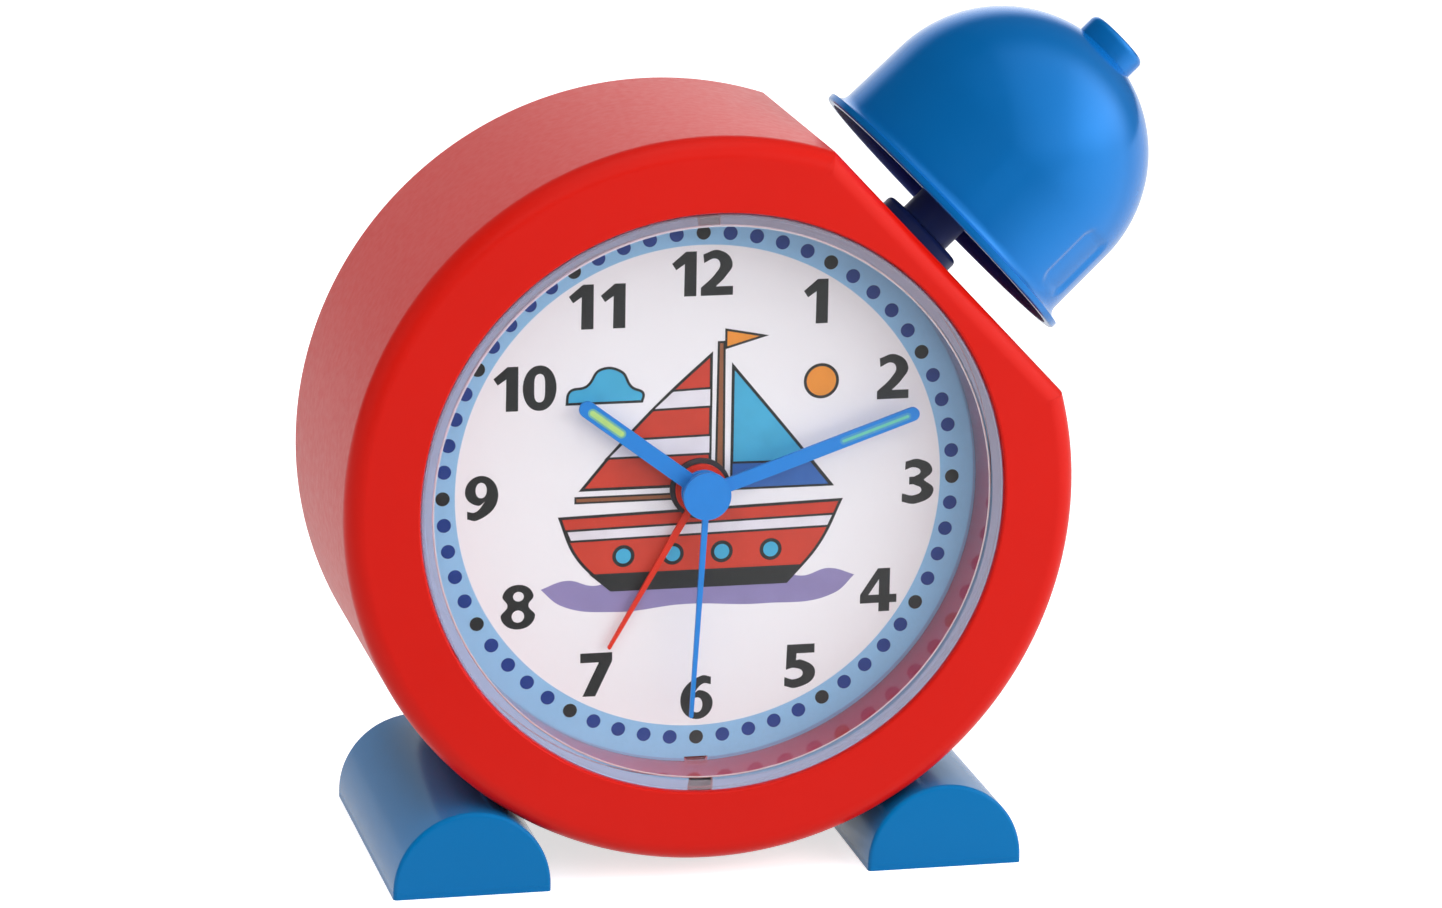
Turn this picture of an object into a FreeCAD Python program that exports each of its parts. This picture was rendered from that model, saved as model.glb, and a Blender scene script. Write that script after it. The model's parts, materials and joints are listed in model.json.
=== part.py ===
import FreeCAD, Part
import math
import os
from FreeCAD import Vector

# Round analog alarm clock on two half-round feet, with a large press bell at its upper right.
# All sizes are millimetres. The clock is laid out in the housing frame: the drum's axis runs
# along Y through x = 0, z = 0, the front face is y = 0 and y grows to the back.
# Angles on the dial are clockwise from 12 o'clock, as seen from the front.

# Driving dimensions of the drum
DRUM_RADIUS = 55.0
DRUM_DEPTH = 48.0
AXIS_HEIGHT = 57.86
WALL = 2.4
FRONT_ROUNDING = 3.0
BACK_ROUNDING = 1.0
FLAT_CORNER_ROUNDING = 3.5
FLAT_ANGLE = 43.5
FLAT_DISTANCE = 48.55
FLAT_WALL = 2.2

# Window, dial and the floor behind the dial
OPENING_RADIUS = 44.0
OPENING_ROUNDING = 0.4
TUNNEL_WALL = 1.6
LENS_RADIUS = 43.85
LENS_INNER_RADIUS = 42.1
LENS_FRONT = 0.3
LENS_THICKNESS = 1.5
TAB_WIDTH = 3.0
DIAL_FRONT = 11.6
DIAL_THICKNESS = 0.8
DIAL_RADIUS = 43.8
DIAL_NOTCH_WIDTH = 3.2
DIAL_NOTCH_RADIUS = 41.2
CENTRE_HOLE_RADIUS = 5.0
FLOOR_THICKNESS = 1.6

# Feet
FOOT_CENTRE_X = 36.15
FOOT_RADIUS = 11.85
FOOT_WALL = 2.0
SOLE_THICKNESS = 1.0
FOOT_FRONT = -0.3
FOOT_BACK = 50.0
FOOT_ROUNDING = 0.6
FOOT_SADDLE_WIDTH = 7.0
FOOT_SCREW_Y = (12.0, 36.0)

# Bell, measured along its own axis from the drum's axis
BELL_DEPTH_Y = 24.25
BELL_RIM = 54.3
BELL_LIP_RADIUS = 24.15
BELL_MOUTH_RADIUS = 22.75
BELL_LIP_TOP = 55.4
BELL_WALL_START = 57.0
BELL_WALL_RADIUS = 22.25
BELL_CROWN_START = 67.5
BELL_CROWN_RADIUS = 22.1
BELL_CROWN_HEIGHT = 22.05
BELL_WALL = 1.6
BELL_SEAT = 88.9
BELL_BOSS_RADIUS = 5.6
BELL_BOSS_START = 85.2
RECESS_ANGLE = 39.5
RECESS_START = 57.4
RECESS_END = 69.6
RECESS_WIDTH = 5.6
RECESS_DEPTH = 0.6
KNOB_RADIUS = 5.1
KNOB_TOP = 92.2
KNOB_ROUNDING = 1.0
STEM_RADIUS = 4.48
STEM_TENON_RADIUS = 2.5
STEM_LOWER_RADIUS = 3.0
STEM_TIP = 39.4
COLLAR_RADIUS = 7.05
COLLAR_TOP = 51.1
COLLAR_TUBE_RADIUS = 5.6
COLLAR_BOTTOM = 45.0
PRESS_TRAVEL = 2.5
SPRING_WIRE_RADIUS = 0.35
SPRING_MEAN_RADIUS = 3.9
SPRING_TURNS = 3.5
BRACKET_SHELF = 38.0
SHEET = 1.2

# Running clearance of a shaft in its hole, and the slack that keeps a seated piece free
RUN = 0.1
SLACK = 0.05

# Hands: the front plane, the thickness, and the angle at which each hand points
SECOND_PLANE = 6.6
MINUTE_PLANE = 7.8
HOUR_PLANE = 9.0
ALARM_PLANE = 10.3
SECOND_ANGLE = 183.2
MINUTE_ANGLE = 71.0
HOUR_ANGLE = 307.0
ALARM_ANGLE = 210.0
HAND_THICKNESS = 0.5
INLAY_DEPTH = 0.25
CAP_RADIUS = 3.5
CAP_FRONT = 6.3
CAP_BACK = 7.2

# Coaxial tubes at the centre, from the inside out
SECOND_ARBOR_RADIUS = 0.5
MINUTE_TUBE_RADIUS = 1.4
HOUR_TUBE_RADIUS = 2.3
ALARM_TUBE_RADIUS = 3.3
BUSH_RADIUS = 4.6
BUSH_FRONT = 11.0

# Movement case, between the floor and the battery well
CASE_X = (-31.0, 20.0)
CASE_Z = (-27.0, 20.0)
CASE_FRONT = 14.0
CASE_PLATE = 1.5
CASE_BACK = 28.8
CASE_WALL = 1.2
MIDDLE_PLATE_Y = (22.7, 23.3)

# Gear train: teeth and modules of each meshing pair
MINUTE_MODULE = 0.5
CANNON_TEETH = 12
INTERMEDIATE_TEETH = 36
SETTING_TEETH = 18
HOUR_MODULE = 0.48
INTERMEDIATE_LEAVES = 10
HOUR_TEETH = 40
ALARM_TEETH = 36
ALARM_SETTING_TEETH = 16
SECOND_MODULE = 0.3
SECOND_TEETH = 50
THIRD_LEAVES = 10
THIRD_TEETH = 48
ROTOR_LEAVES = 8
KNOB_HEIGHT_Z = 6.5
THIRD_BEARING = 200.0
ROTOR_BEARING = 135.0

# Layers of the train along the depth
ALARM_WHEEL_Y = (15.9, 17.3)
HOUR_WHEEL_Y = (18.0, 19.4)
HOUR_LEAVES_Y = (17.7, 19.9)
CANNON_Y = (20.2, 22.4)
INTERMEDIATE_Y = (20.5, 21.9)
SECOND_WHEEL_Y = (23.7, 24.7)
THIRD_LEAVES_Y = (23.6, 25.2)
THIRD_WHEEL_Y = (25.4, 26.4)
ROTOR_LEAVES_Y = (25.2, 26.6)
MAGNET_Y = (21.8, 24.6)
MAGNET_RADIUS = 3.0
ARBOR_END = 27.4

# Back cover, knobs, battery well and switch
COVER_FRONT = 45.6
COVER_THICKNESS = 2.0
COVER_RADIUS = 53.3
COVER_FLAT = 47.05
POST_RADIUS = 3.2
POST_ANGLES = (10.0, 98.0, 186.0, 275.0)
POST_CIRCLE = 47.5
KNOB_CUP_RADIUS = 9.5
KNOB_CUP_FLOOR = 43.4
REAR_KNOB_RADIUS = 6.5
REAR_KNOB_BACK = 50.0
KNOB_SHAFT_RADIUS = 1.5
WELL_X = 31.0
WELL_Z = (-38.5, -6.5)
WELL_FLOOR = 30.8
CELL_RADIUS = 7.2
CELL_LENGTH = 50.0
CELL_Y = 38.05
CELL_Z = (-15.0, -30.0)
DOOR_FRONT = 46.2
SPEAKER_X = -8.0
SPEAKER_Z = 31.0
SPEAKER_RADIUS = 13.5
SWITCH_X = 31.0
SWITCH_Z = 14.0
SWITCH_TRAVEL = 3.0

# Place of the drum's axis in the part frame, whose origin is the middle of the base
BELL_REACH_X = (BELL_CROWN_START * math.cos(math.radians(FLAT_ANGLE))
                + math.hypot(BELL_CROWN_HEIGHT * math.cos(math.radians(FLAT_ANGLE)),
                             BELL_CROWN_RADIUS * math.sin(math.radians(FLAT_ANGLE))))
HOUSING_TO_PART = Vector(
    (DRUM_RADIUS - BELL_REACH_X) / 2,
    -(FOOT_FRONT + FOOT_BACK) / 2,
    AXIS_HEIGHT,
)

DEPTH = Vector(0, 1, 0)
ORIGIN = Vector(0, 0, 0)


# Shared shapes


def disc(radius, y0, y1, x=0.0, z=0.0):
    """A round disc or rod whose axis runs along the depth."""
    return Part.makeCylinder(radius, y1 - y0, Vector(x, y0, z), DEPTH)


def ring(outer, inner, y0, y1, x=0.0, z=0.0):
    """A tube whose axis runs along the depth."""
    return disc(outer, y0, y1, x, z).cut(disc(inner, y0 - 1, y1 + 1, x, z))


def block(x0, x1, y0, y1, z0, z1):
    """A box between two corners."""
    return Part.makeBox(x1 - x0, y1 - y0, z1 - z0, Vector(x0, y0, z0))


def joined(shapes):
    """One solid from touching or overlapping ones."""
    first = shapes[0]
    return first.fuse(shapes[1:]).removeSplitter()


def without(shape, tools):
    """The shape with every tool cut out of it."""
    for tool in tools:
        shape = shape.cut(tool)
    return shape


def rounded(shape, radius, wanted):
    """The shape with those edges rounded for which wanted(edge) is true."""
    edges = [edge for edge in shape.Edges if wanted(edge)]
    return shape.makeFillet(radius, edges)


def lies_at_depth(y):
    """A test for edges that lie in the plane at this depth."""
    return lambda edge: abs(edge.BoundBox.YMin - y) < 1e-4 and abs(edge.BoundBox.YMax - y) < 1e-4


def clock_point(radius, angle, y=0.0):
    """The point at this radius and clockwise angle from 12 o'clock."""
    turn = math.radians(angle)
    return Vector(radius * math.sin(turn), y, radius * math.cos(turn))


def clock_bearing(start, end):
    """The clockwise angle in which the second place lies, seen from the first."""
    return math.degrees(math.atan2(end[0] - start[0], end[1] - start[1]))


def turned(shape, angle, x=0.0, z=0.0):
    """The shape turned clockwise about an axis along the depth."""
    shape.rotate(Vector(x, 0, z), DEPTH, angle)
    return shape


def drum_prism(radius, flat, y0, y1):
    """A round prism along the drum's axis with one side cut flat, facing the bell."""
    angle = math.radians(FLAT_ANGLE)
    normal = Vector(math.cos(angle), 0, math.sin(angle))
    along = Vector(-math.sin(angle), 0, math.cos(angle))
    half = math.sqrt(radius ** 2 - flat ** 2)
    start = normal * flat + along * half
    end = normal * flat - along * half
    arc = Part.Arc(start, normal * -radius, end).toShape()
    outline = Part.Wire([arc, Part.makeLine(end, start)])
    prism = Part.Face(outline).extrude(DEPTH * (y1 - y0))
    prism.translate(DEPTH * y0)
    return prism


def on_bell_axis(shape):
    """Move a shape from the upright frame, whose Z is the distance along the bell's axis."""
    shape.rotate(ORIGIN, DEPTH, 90.0 - FLAT_ANGLE)
    shape.translate(DEPTH * BELL_DEPTH_Y)
    return shape


def upright(radius, s0, s1, x=0.0, y=0.0):
    """A rod along the bell's axis, in the upright frame."""
    return Part.makeCylinder(radius, s1 - s0, Vector(x, y, s0))


def upright_ring(outer, inner, s0, s1):
    """A tube along the bell's axis, in the upright frame."""
    return upright(outer, s0, s1).cut(upright(inner, s0 - 1, s1 + 1))


def screw(head_radius, head_height, shank_radius, length):
    """A screw along Z: its shank points down from the head's underside at z = 0."""
    head = Part.makeCylinder(head_radius, head_height)
    head = rounded(head, 0.3, lambda edge: edge.BoundBox.ZMin > head_height - 1e-4)
    tip = Part.makeCone(shank_radius * 0.4, shank_radius, shank_radius, Vector(0, 0, -length))
    shank = Part.makeCylinder(shank_radius, length - shank_radius, Vector(0, 0, shank_radius - length))
    return joined([head, shank, tip])


def aimed(shape, place, direction):
    """A shape built along Z, set at a place with its Z along the direction."""
    shape.Placement = FreeCAD.Placement(place, FreeCAD.Rotation(Vector(0, 0, 1), direction))
    return shape


# Toothed wheels


def toothed_disc(teeth, module, layer, place=(0.0, 0.0), phase=0.0, leaves=False):
    """A wheel with radial flanks below its pitch circle and pointed crowns above it.

    A pinion's leaves are short and blunt, so that they roll clear of the wheel's flanks.
    """
    pitch_radius = teeth * module / 2
    crown, foot, half, half_tip = 1.1, 1.1, 0.725, 0.25
    if leaves:
        crown, foot, half, half_tip = 0.8, 1.4, 0.675, 0.35
    tip_radius = pitch_radius + crown * module
    root_radius = pitch_radius - foot * module
    spread = math.degrees(half * module / pitch_radius)
    tip_spread = math.degrees(half_tip * module / tip_radius)
    profile = (
        (root_radius, -spread),
        (pitch_radius, -spread),
        (tip_radius, -tip_spread),
        (tip_radius, tip_spread),
        (pitch_radius, spread),
        (root_radius, spread),
    )
    points = []
    for tooth in range(teeth):
        middle = phase + 360.0 * tooth / teeth
        for radius, offset in profile:
            points.append(clock_point(radius, middle + offset, layer[0]))
    outline = Part.makePolygon(points + [points[0]])
    wheel = Part.Face(outline).extrude(DEPTH * (layer[1] - layer[0]))
    wheel.translate(Vector(place[0], 0, place[1]))
    return wheel


def meshing_phase(phase, teeth, other_teeth, bearing):
    """The phase of a second wheel whose gap meets the first wheel's tooth.

    bearing is the clockwise angle from the first wheel's centre to the second's.
    """
    lead = ((bearing - phase) * teeth / 360.0) % 1.0
    return bearing + 180.0 + (lead + 0.5) * 360.0 / other_teeth


CENTRE = (0.0, 0.0)
INTERMEDIATE_PLACE = (-MINUTE_MODULE * (CANNON_TEETH + INTERMEDIATE_TEETH) / 2, 0.0)
SETTING_REACH = MINUTE_MODULE * (INTERMEDIATE_TEETH + SETTING_TEETH) / 2
SETTING_PLACE = (
    INTERMEDIATE_PLACE[0] - math.sqrt(SETTING_REACH ** 2 - KNOB_HEIGHT_Z ** 2),
    KNOB_HEIGHT_Z,
)
ALARM_REACH = MINUTE_MODULE * (ALARM_TEETH + ALARM_SETTING_TEETH) / 2
ALARM_SETTING_PLACE = (math.sqrt(ALARM_REACH ** 2 - KNOB_HEIGHT_Z ** 2), KNOB_HEIGHT_Z)
THIRD_REACH = SECOND_MODULE * (SECOND_TEETH + THIRD_LEAVES) / 2
THIRD_PLACE = (
    THIRD_REACH * math.sin(math.radians(THIRD_BEARING)),
    THIRD_REACH * math.cos(math.radians(THIRD_BEARING)),
)
ROTOR_REACH = SECOND_MODULE * (THIRD_TEETH + ROTOR_LEAVES) / 2 + SLACK
ROTOR_PLACE = (
    THIRD_PLACE[0] + ROTOR_REACH * math.sin(math.radians(ROTOR_BEARING)),
    THIRD_PLACE[1] + ROTOR_REACH * math.cos(math.radians(ROTOR_BEARING)),
)


# Housing, window, dial and feet


def make_housing():
    floor_back = DIAL_FRONT + DIAL_THICKNESS + FLOOR_THICKNESS
    outer = drum_prism(DRUM_RADIUS, FLAT_DISTANCE, 0, DRUM_DEPTH)
    outer = rounded(
        outer, FLAT_CORNER_ROUNDING,
        lambda edge: edge.BoundBox.YLength > DRUM_DEPTH - 1e-4,
    )
    outer = rounded(outer, FRONT_ROUNDING, lies_at_depth(0))
    outer = rounded(outer, BACK_ROUNDING, lies_at_depth(DRUM_DEPTH))
    inner = drum_prism(DRUM_RADIUS - WALL, FLAT_DISTANCE - FLAT_WALL, WALL, DRUM_DEPTH + 1)
    shell = outer.cut(inner)
    tunnel = ring(OPENING_RADIUS + TUNNEL_WALL, OPENING_RADIUS, 0.5, floor_back)
    floor = disc(OPENING_RADIUS + 0.5, DIAL_FRONT + DIAL_THICKNESS, floor_back)
    additions = [tunnel, floor]
    for angle in POST_ANGLES:
        place = clock_point(POST_CIRCLE, angle)
        additions.append(disc(POST_RADIUS, WALL - 0.5, COVER_FRONT, place.x, place.z))
    for place in MOVEMENT_SCREW_PLACES:
        additions.append(disc(3.0, floor_back - 0.5, floor_back + 3.0, place[0], place[1]))
    inside_flat = FLAT_DISTANCE - FLAT_WALL
    for side in (-1, 1):
        boss = upright(2.6, inside_flat - 3.0, inside_flat + 1.0, side * 12.0)
        additions.append(on_bell_axis(boss))
    shell = joined([shell.cut(disc(OPENING_RADIUS, -1, WALL + 1))] + additions)
    rebate = drum_prism(
        DRUM_RADIUS - WALL + 0.8, FLAT_DISTANCE - FLAT_WALL + 0.8, COVER_FRONT, DRUM_DEPTH + 1,
    )
    holes = [rebate, disc(CENTRE_HOLE_RADIUS, 10, 16)]
    for angle in POST_ANGLES:
        place = clock_point(POST_CIRCLE, angle)
        holes.append(disc(1.3, 32, COVER_FRONT + 1, place.x, place.z))
    for place in MOVEMENT_SCREW_PLACES:
        holes.append(disc(1.15, floor_back - 0.6, floor_back + 4, place[0], place[1]))
    for side in (-1, 1):
        hole = upright(1.15, inside_flat - 4, inside_flat + 0.8, side * 12.0)
        holes.append(on_bell_axis(hole))
        half = TAB_WIDTH / 2 + 0.3
        slot = block(-half, half, 12, 15, LENS_INNER_RADIUS, OPENING_RADIUS - 0.1)
        holes.append(turned(slot, 90.0 - 90.0 * side))
    holes.append(on_bell_axis(upright(COLLAR_TUBE_RADIUS + SLACK, 40, 60)))
    for x, y, direction in foot_screw_lines():
        start = direction * (DRUM_RADIUS - WALL - 2) + DEPTH * y
        holes.append(Part.makeCylinder(1.4, WALL + 4, start, direction))
    shell = without(shell, holes)
    front = lies_at_depth(0)
    return rounded(
        shell, OPENING_ROUNDING,
        lambda edge: front(edge) and edge.BoundBox.XLength < 2 * OPENING_RADIUS + 1,
    )


def make_lens():
    window = disc(LENS_RADIUS, LENS_FRONT, LENS_FRONT + LENS_THICKNESS)
    wall = ring(LENS_RADIUS, LENS_INNER_RADIUS, LENS_FRONT + LENS_THICKNESS - 0.2, DIAL_FRONT)
    cup = rounded(joined([window, wall]), 0.5, lies_at_depth(LENS_FRONT))
    half = TAB_WIDTH / 2
    floor_back = DIAL_FRONT + DIAL_THICKNESS + FLOOR_THICKNESS
    tabs = []
    for angle in (0.0, 180.0):
        tab_back = floor_back + 1.2
        leg = block(-half, half, DIAL_FRONT - 0.5, tab_back, LENS_INNER_RADIUS + 0.2, LENS_RADIUS - 0.35)
        hook = block(-half, half, floor_back + SLACK, tab_back, LENS_RADIUS - 0.6, LENS_RADIUS + 0.6)
        tabs.append(turned(leg.fuse(hook), angle))
    return joined([cup] + tabs)


def make_dial():
    plate = ring(DIAL_RADIUS, CENTRE_HOLE_RADIUS, DIAL_FRONT, DIAL_FRONT + DIAL_THICKNESS)
    half = DIAL_NOTCH_WIDTH / 2
    notches = []
    for angle in (0.0, 180.0):
        notch = block(-half, half, DIAL_FRONT - 1, DIAL_FRONT + 2, DIAL_NOTCH_RADIUS, DIAL_RADIUS + 1)
        notches.append(turned(notch, angle))
    return without(plate, notches)


FOOT_TOP_PLANE = SOLE_THICKNESS - AXIS_HEIGHT


def foot_direction(side):
    """The unit direction from the drum's axis to the middle of a foot."""
    return Vector(side * FOOT_CENTRE_X, 0, FOOT_TOP_PLANE).normalize()


def foot_screw_lines():
    """Every foot screw's side, depth and outward direction."""
    lines = []
    for side in (-1, 1):
        for y in FOOT_SCREW_Y:
            lines.append((side, y, foot_direction(side)))
    return lines


def half_round(x, radius, y0, y1):
    """A half cylinder along the depth that lies with its flat side on the sole."""
    cylinder = disc(radius, y0, y1, x, FOOT_TOP_PLANE)
    below = block(x - radius - 1, x + radius + 1, y0 - 1, y1 + 1, FOOT_TOP_PLANE - radius - 1, FOOT_TOP_PLANE)
    return cylinder.cut(below)


def make_foot(side):
    """Hollow half-round foot with a saddle rib that seats on the drum and two screw bosses."""
    x = side * FOOT_CENTRE_X
    foot = half_round(x, FOOT_RADIUS, FOOT_FRONT, FOOT_BACK)
    ends = [lies_at_depth(FOOT_FRONT), lies_at_depth(FOOT_BACK)]
    foot = rounded(
        foot, FOOT_ROUNDING,
        lambda edge: (ends[0](edge) or ends[1](edge)) and edge.BoundBox.ZLength > 1,
    )
    foot = foot.cut(half_round(x, FOOT_RADIUS - FOOT_WALL, FOOT_FRONT + FOOT_WALL, FOOT_BACK - FOOT_WALL))
    direction = foot_direction(side)
    saddle = Part.makeBox(FOOT_SADDLE_WIDTH, 40.0, 7.5, Vector(-FOOT_SADDLE_WIDTH / 2, 4.0, 50.0))
    saddle.rotate(ORIGIN, DEPTH, math.degrees(math.atan2(direction.x, direction.z)))
    additions = [saddle.cut(disc(DRUM_RADIUS, 0, DRUM_DEPTH + 1))]
    holes = []
    for line_side, y, line in foot_screw_lines():
        if line_side == side:
            additions.append(Part.makeCylinder(2.8, 8.4, line * 56.8 + DEPTH * y, line))
            holes.append(Part.makeCylinder(1.2, 10.0, line * (DRUM_RADIUS - 1) + DEPTH * y, line))
    return without(joined([foot] + additions), holes)


def make_sole(side):
    """Flat plate that closes a foot from below and rests on the table."""
    x = side * FOOT_CENTRE_X
    sole = block(x - FOOT_RADIUS, x + FOOT_RADIUS, FOOT_FRONT, FOOT_BACK, -AXIS_HEIGHT, FOOT_TOP_PLANE)
    return rounded(sole, FOOT_ROUNDING, lambda edge: edge.BoundBox.ZLength > SOLE_THICKNESS - 1e-4)


def make_foot_screws():
    screws = []
    for side, y, direction in foot_screw_lines():
        place = direction * (DRUM_RADIUS - WALL - 0.1) + DEPTH * y
        screws.append(aimed(screw(2.6, 1.6, 1.15, 10.5), place, direction * -1))
    return Part.makeCompound(screws)


# Bell and its plunger


def bell_profile(offset):
    """Outer profile of the bell's wall and crown, moved inwards by the offset."""
    radius = BELL_CROWN_RADIUS - offset
    height = BELL_CROWN_HEIGHT - offset
    crown = Part.Ellipse(ORIGIN, max(radius, height), min(radius, height))
    arc = Part.ArcOfEllipse(crown, 0, math.pi / 2).toShape()
    arc.rotate(ORIGIN, Vector(1, 0, 0), 90)
    arc.translate(Vector(0, 0, BELL_CROWN_START))
    return arc


def bell_solid(offset, foot):
    """Solid of revolution inside the bell's outer wall, less the offset, from the foot up."""
    wall_radius = BELL_WALL_RADIUS - offset
    crown_radius = BELL_CROWN_RADIUS - offset
    arc = bell_profile(offset)
    shoulder = Vector(crown_radius, 0, BELL_CROWN_START)
    wire = Part.Wire([
        Part.makeLine(Vector(0, 0, foot), Vector(wall_radius, 0, foot)),
        Part.makeLine(Vector(wall_radius, 0, foot), shoulder),
        arc,
        Part.makeLine(Vector(0, 0, BELL_CROWN_START + BELL_CROWN_HEIGHT - offset), Vector(0, 0, foot)),
    ])
    return Part.Face(wire).revolve(ORIGIN, Vector(0, 0, 1), 360)


def bell_lip():
    """The flared lip: a curved outward sweep ending in a thin rounded edge."""
    inner = BELL_WALL_RADIUS - BELL_WALL
    a = Vector(BELL_WALL_RADIUS, 0, BELL_WALL_START)
    b = Vector(BELL_LIP_RADIUS, 0, BELL_LIP_TOP)
    sag = Vector(BELL_WALL_RADIUS + 0.45, 0, BELL_LIP_TOP + 0.5)
    c = Vector(BELL_LIP_RADIUS, 0, BELL_RIM + 0.45)
    edge = Vector(BELL_LIP_RADIUS - 0.14, 0, BELL_RIM + 0.13)
    d = Vector(BELL_LIP_RADIUS - 0.45, 0, BELL_RIM)
    e = Vector(BELL_MOUTH_RADIUS, 0, BELL_RIM)
    f = Vector(inner, 0, BELL_WALL_START)
    throat = Vector(inner + 0.6, 0, BELL_RIM + 1.2)
    wire = Part.Wire([
        Part.Arc(a, sag, b).toShape(),
        Part.makeLine(b, c),
        Part.Arc(c, edge, d).toShape(),
        Part.makeLine(d, e),
        Part.Arc(e, throat, f).toShape(),
        Part.makeLine(f, a),
    ])
    return Part.Face(wire).revolve(ORIGIN, Vector(0, 0, 1), 360)


def make_bell():
    shell = bell_solid(0, BELL_WALL_START)
    shell = shell.cut(bell_solid(BELL_WALL, BELL_WALL_START))
    boss = upright(BELL_BOSS_RADIUS, BELL_BOSS_START, BELL_SEAT)
    bell = joined([shell, bell_lip(), boss])
    flat = upright(KNOB_RADIUS + 4, BELL_SEAT, BELL_SEAT + 3)
    bell = bell.cut(flat).cut(upright(STEM_TENON_RADIUS + SLACK, BELL_BOSS_START - 1, BELL_SEAT + 1))
    half = RECESS_WIDTH / 2
    low = RECESS_START + half
    high = RECESS_END - half
    slot = joined([
        Part.makeBox(20, RECESS_WIDTH, high - low, Vector(10, -half, low)),
        Part.makeCylinder(half, 20, Vector(10, 0, low), Vector(1, 0, 0)),
        Part.makeCylinder(half, 20, Vector(10, 0, high), Vector(1, 0, 0)),
    ])
    slot = slot.cut(bell_solid(RECESS_DEPTH, BELL_WALL_START - 2))
    slot.rotate(ORIGIN, Vector(0, 0, 1), RECESS_ANGLE - 90.0)
    return on_bell_axis(bell.cut(slot))


def make_bell_knob():
    knob = upright(KNOB_RADIUS, BELL_SEAT, KNOB_TOP)
    knob = rounded(knob, KNOB_ROUNDING, lambda edge: edge.BoundBox.ZMin > KNOB_TOP - 1e-4)
    socket = upright(STEM_TENON_RADIUS + SLACK, BELL_SEAT - 1, KNOB_TOP - 1.2)
    return on_bell_axis(knob.cut(socket))


def make_bell_stem():
    """Plunger: a wide upper rod, a narrow lower rod with a clip groove, and a tenon on top."""
    groove = (COLLAR_BOTTOM - SLACK - SHEET + 0.2, COLLAR_BOTTOM - SLACK)
    stem = joined([
        upright(STEM_LOWER_RADIUS, STEM_TIP, COLLAR_BOTTOM + 1),
        upright(STEM_RADIUS, COLLAR_BOTTOM, BELL_BOSS_START),
        upright(STEM_TENON_RADIUS, BELL_BOSS_START - 1, KNOB_TOP - 1.4),
    ])
    cut = upright_ring(STEM_LOWER_RADIUS + 1, STEM_LOWER_RADIUS - 0.6, groove[0], groove[1])
    return on_bell_axis(stem.cut(cut))


def make_stem_clip():
    """Open clip that snaps into the plunger's groove and stops it under the collar."""
    top = COLLAR_BOTTOM - SLACK
    clip = upright_ring(5.2, STEM_LOWER_RADIUS - 0.6 + SLACK, top - SHEET + 0.2, top)
    mouth = Part.makeBox(6, 3.6, 3, Vector(0, -1.8, top - 2))
    return on_bell_axis(clip.cut(mouth))


def make_stem_collar():
    flange = upright(COLLAR_RADIUS, FLAT_DISTANCE, COLLAR_TOP)
    flange = rounded(flange, 0.8, lambda edge: edge.BoundBox.ZMin > COLLAR_TOP - 1e-4)
    tube = upright(COLLAR_TUBE_RADIUS, COLLAR_BOTTOM, FLAT_DISTANCE + 1)
    bore = upright(STEM_RADIUS + RUN, COLLAR_BOTTOM - 1, COLLAR_TOP + 1)
    return on_bell_axis(joined([flange, tube]).cut(bore))


def make_plunger_bracket():
    """Bent metal bracket that hangs under the flat wall and carries the return spring."""
    half = 9.5
    width = 6.0
    ear_top = FLAT_DISTANCE - FLAT_WALL - 3.0
    ear_length = 15.0 - half + SHEET
    leg_foot = SWITCH_BOARD[0]
    parts = [Part.makeBox(2 * half, 2 * width, SHEET, Vector(-half, -width, BRACKET_SHELF - SHEET))]
    for side in (-1, 1):
        leg_x = side * half - (SHEET if side > 0 else 0)
        ear_x = half - SHEET if side > 0 else -15.0
        ear_place = Vector(ear_x, 2 - width, ear_top - SHEET)
        parts.append(Part.makeBox(SHEET, 2 * width, ear_top - leg_foot, Vector(leg_x, -width, leg_foot)))
        parts.append(Part.makeBox(ear_length, 2 * width - 4, SHEET, ear_place))
    bracket = joined(parts)
    holes = [upright(STEM_LOWER_RADIUS + 0.3, BRACKET_SHELF - 3, BRACKET_SHELF + 1)]
    for side in (-1, 1):
        holes.append(upright(1.3, ear_top - 3, ear_top + 1, side * 12.0))
    return on_bell_axis(without(bracket, holes))


SWITCH_BOARD = (32.1, 33.3)


def make_bracket_screws():
    ear_top = FLAT_DISTANCE - FLAT_WALL - 3.0
    screws = []
    for side in (-1, 1):
        part = screw(2.2, 1.3, 1.1, 4.8)
        part.rotate(ORIGIN, DEPTH, 180)
        part.translate(Vector(side * 12.0, 0, ear_top - SHEET))
        screws.append(part)
    return on_bell_axis(Part.makeCompound(screws))


def make_snooze_board():
    inner = 9.5 - SHEET
    return on_bell_axis(Part.makeBox(2 * inner, 12.0, SHEET, Vector(-inner, -6.0, SWITCH_BOARD[0])))


def make_snooze_switch():
    body = Part.makeBox(6.0, 6.0, 2.7, Vector(-3, -3, SWITCH_BOARD[1]))
    button = upright(1.7, SWITCH_BOARD[1] + 2, STEM_TIP - PRESS_TRAVEL - 0.1)
    return on_bell_axis(joined([body, button]))


def make_bell_spring():
    """Coil spring between the bracket's shelf and the plunger's clip."""
    low = BRACKET_SHELF + SPRING_WIRE_RADIUS + 0.02
    high = COLLAR_BOTTOM - SLACK - SHEET + 0.2 - SPRING_WIRE_RADIUS - 0.02
    pitch = (high - low) / SPRING_TURNS
    path = Part.makeHelix(pitch, high - low, SPRING_MEAN_RADIUS)
    path.translate(Vector(0, 0, low))
    start = Vector(SPRING_MEAN_RADIUS, 0, low)
    rise = Vector(0, 2 * math.pi * SPRING_MEAN_RADIUS, pitch)
    section = Part.Wire([Part.makeCircle(SPRING_WIRE_RADIUS, start, rise)])
    print("bell spring: gap between turns", round(pitch - 2 * SPRING_WIRE_RADIUS, 2))
    coil = Part.Wire(path.Edges).makePipeShell([section], True, True)
    return on_bell_axis(coil)


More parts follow.
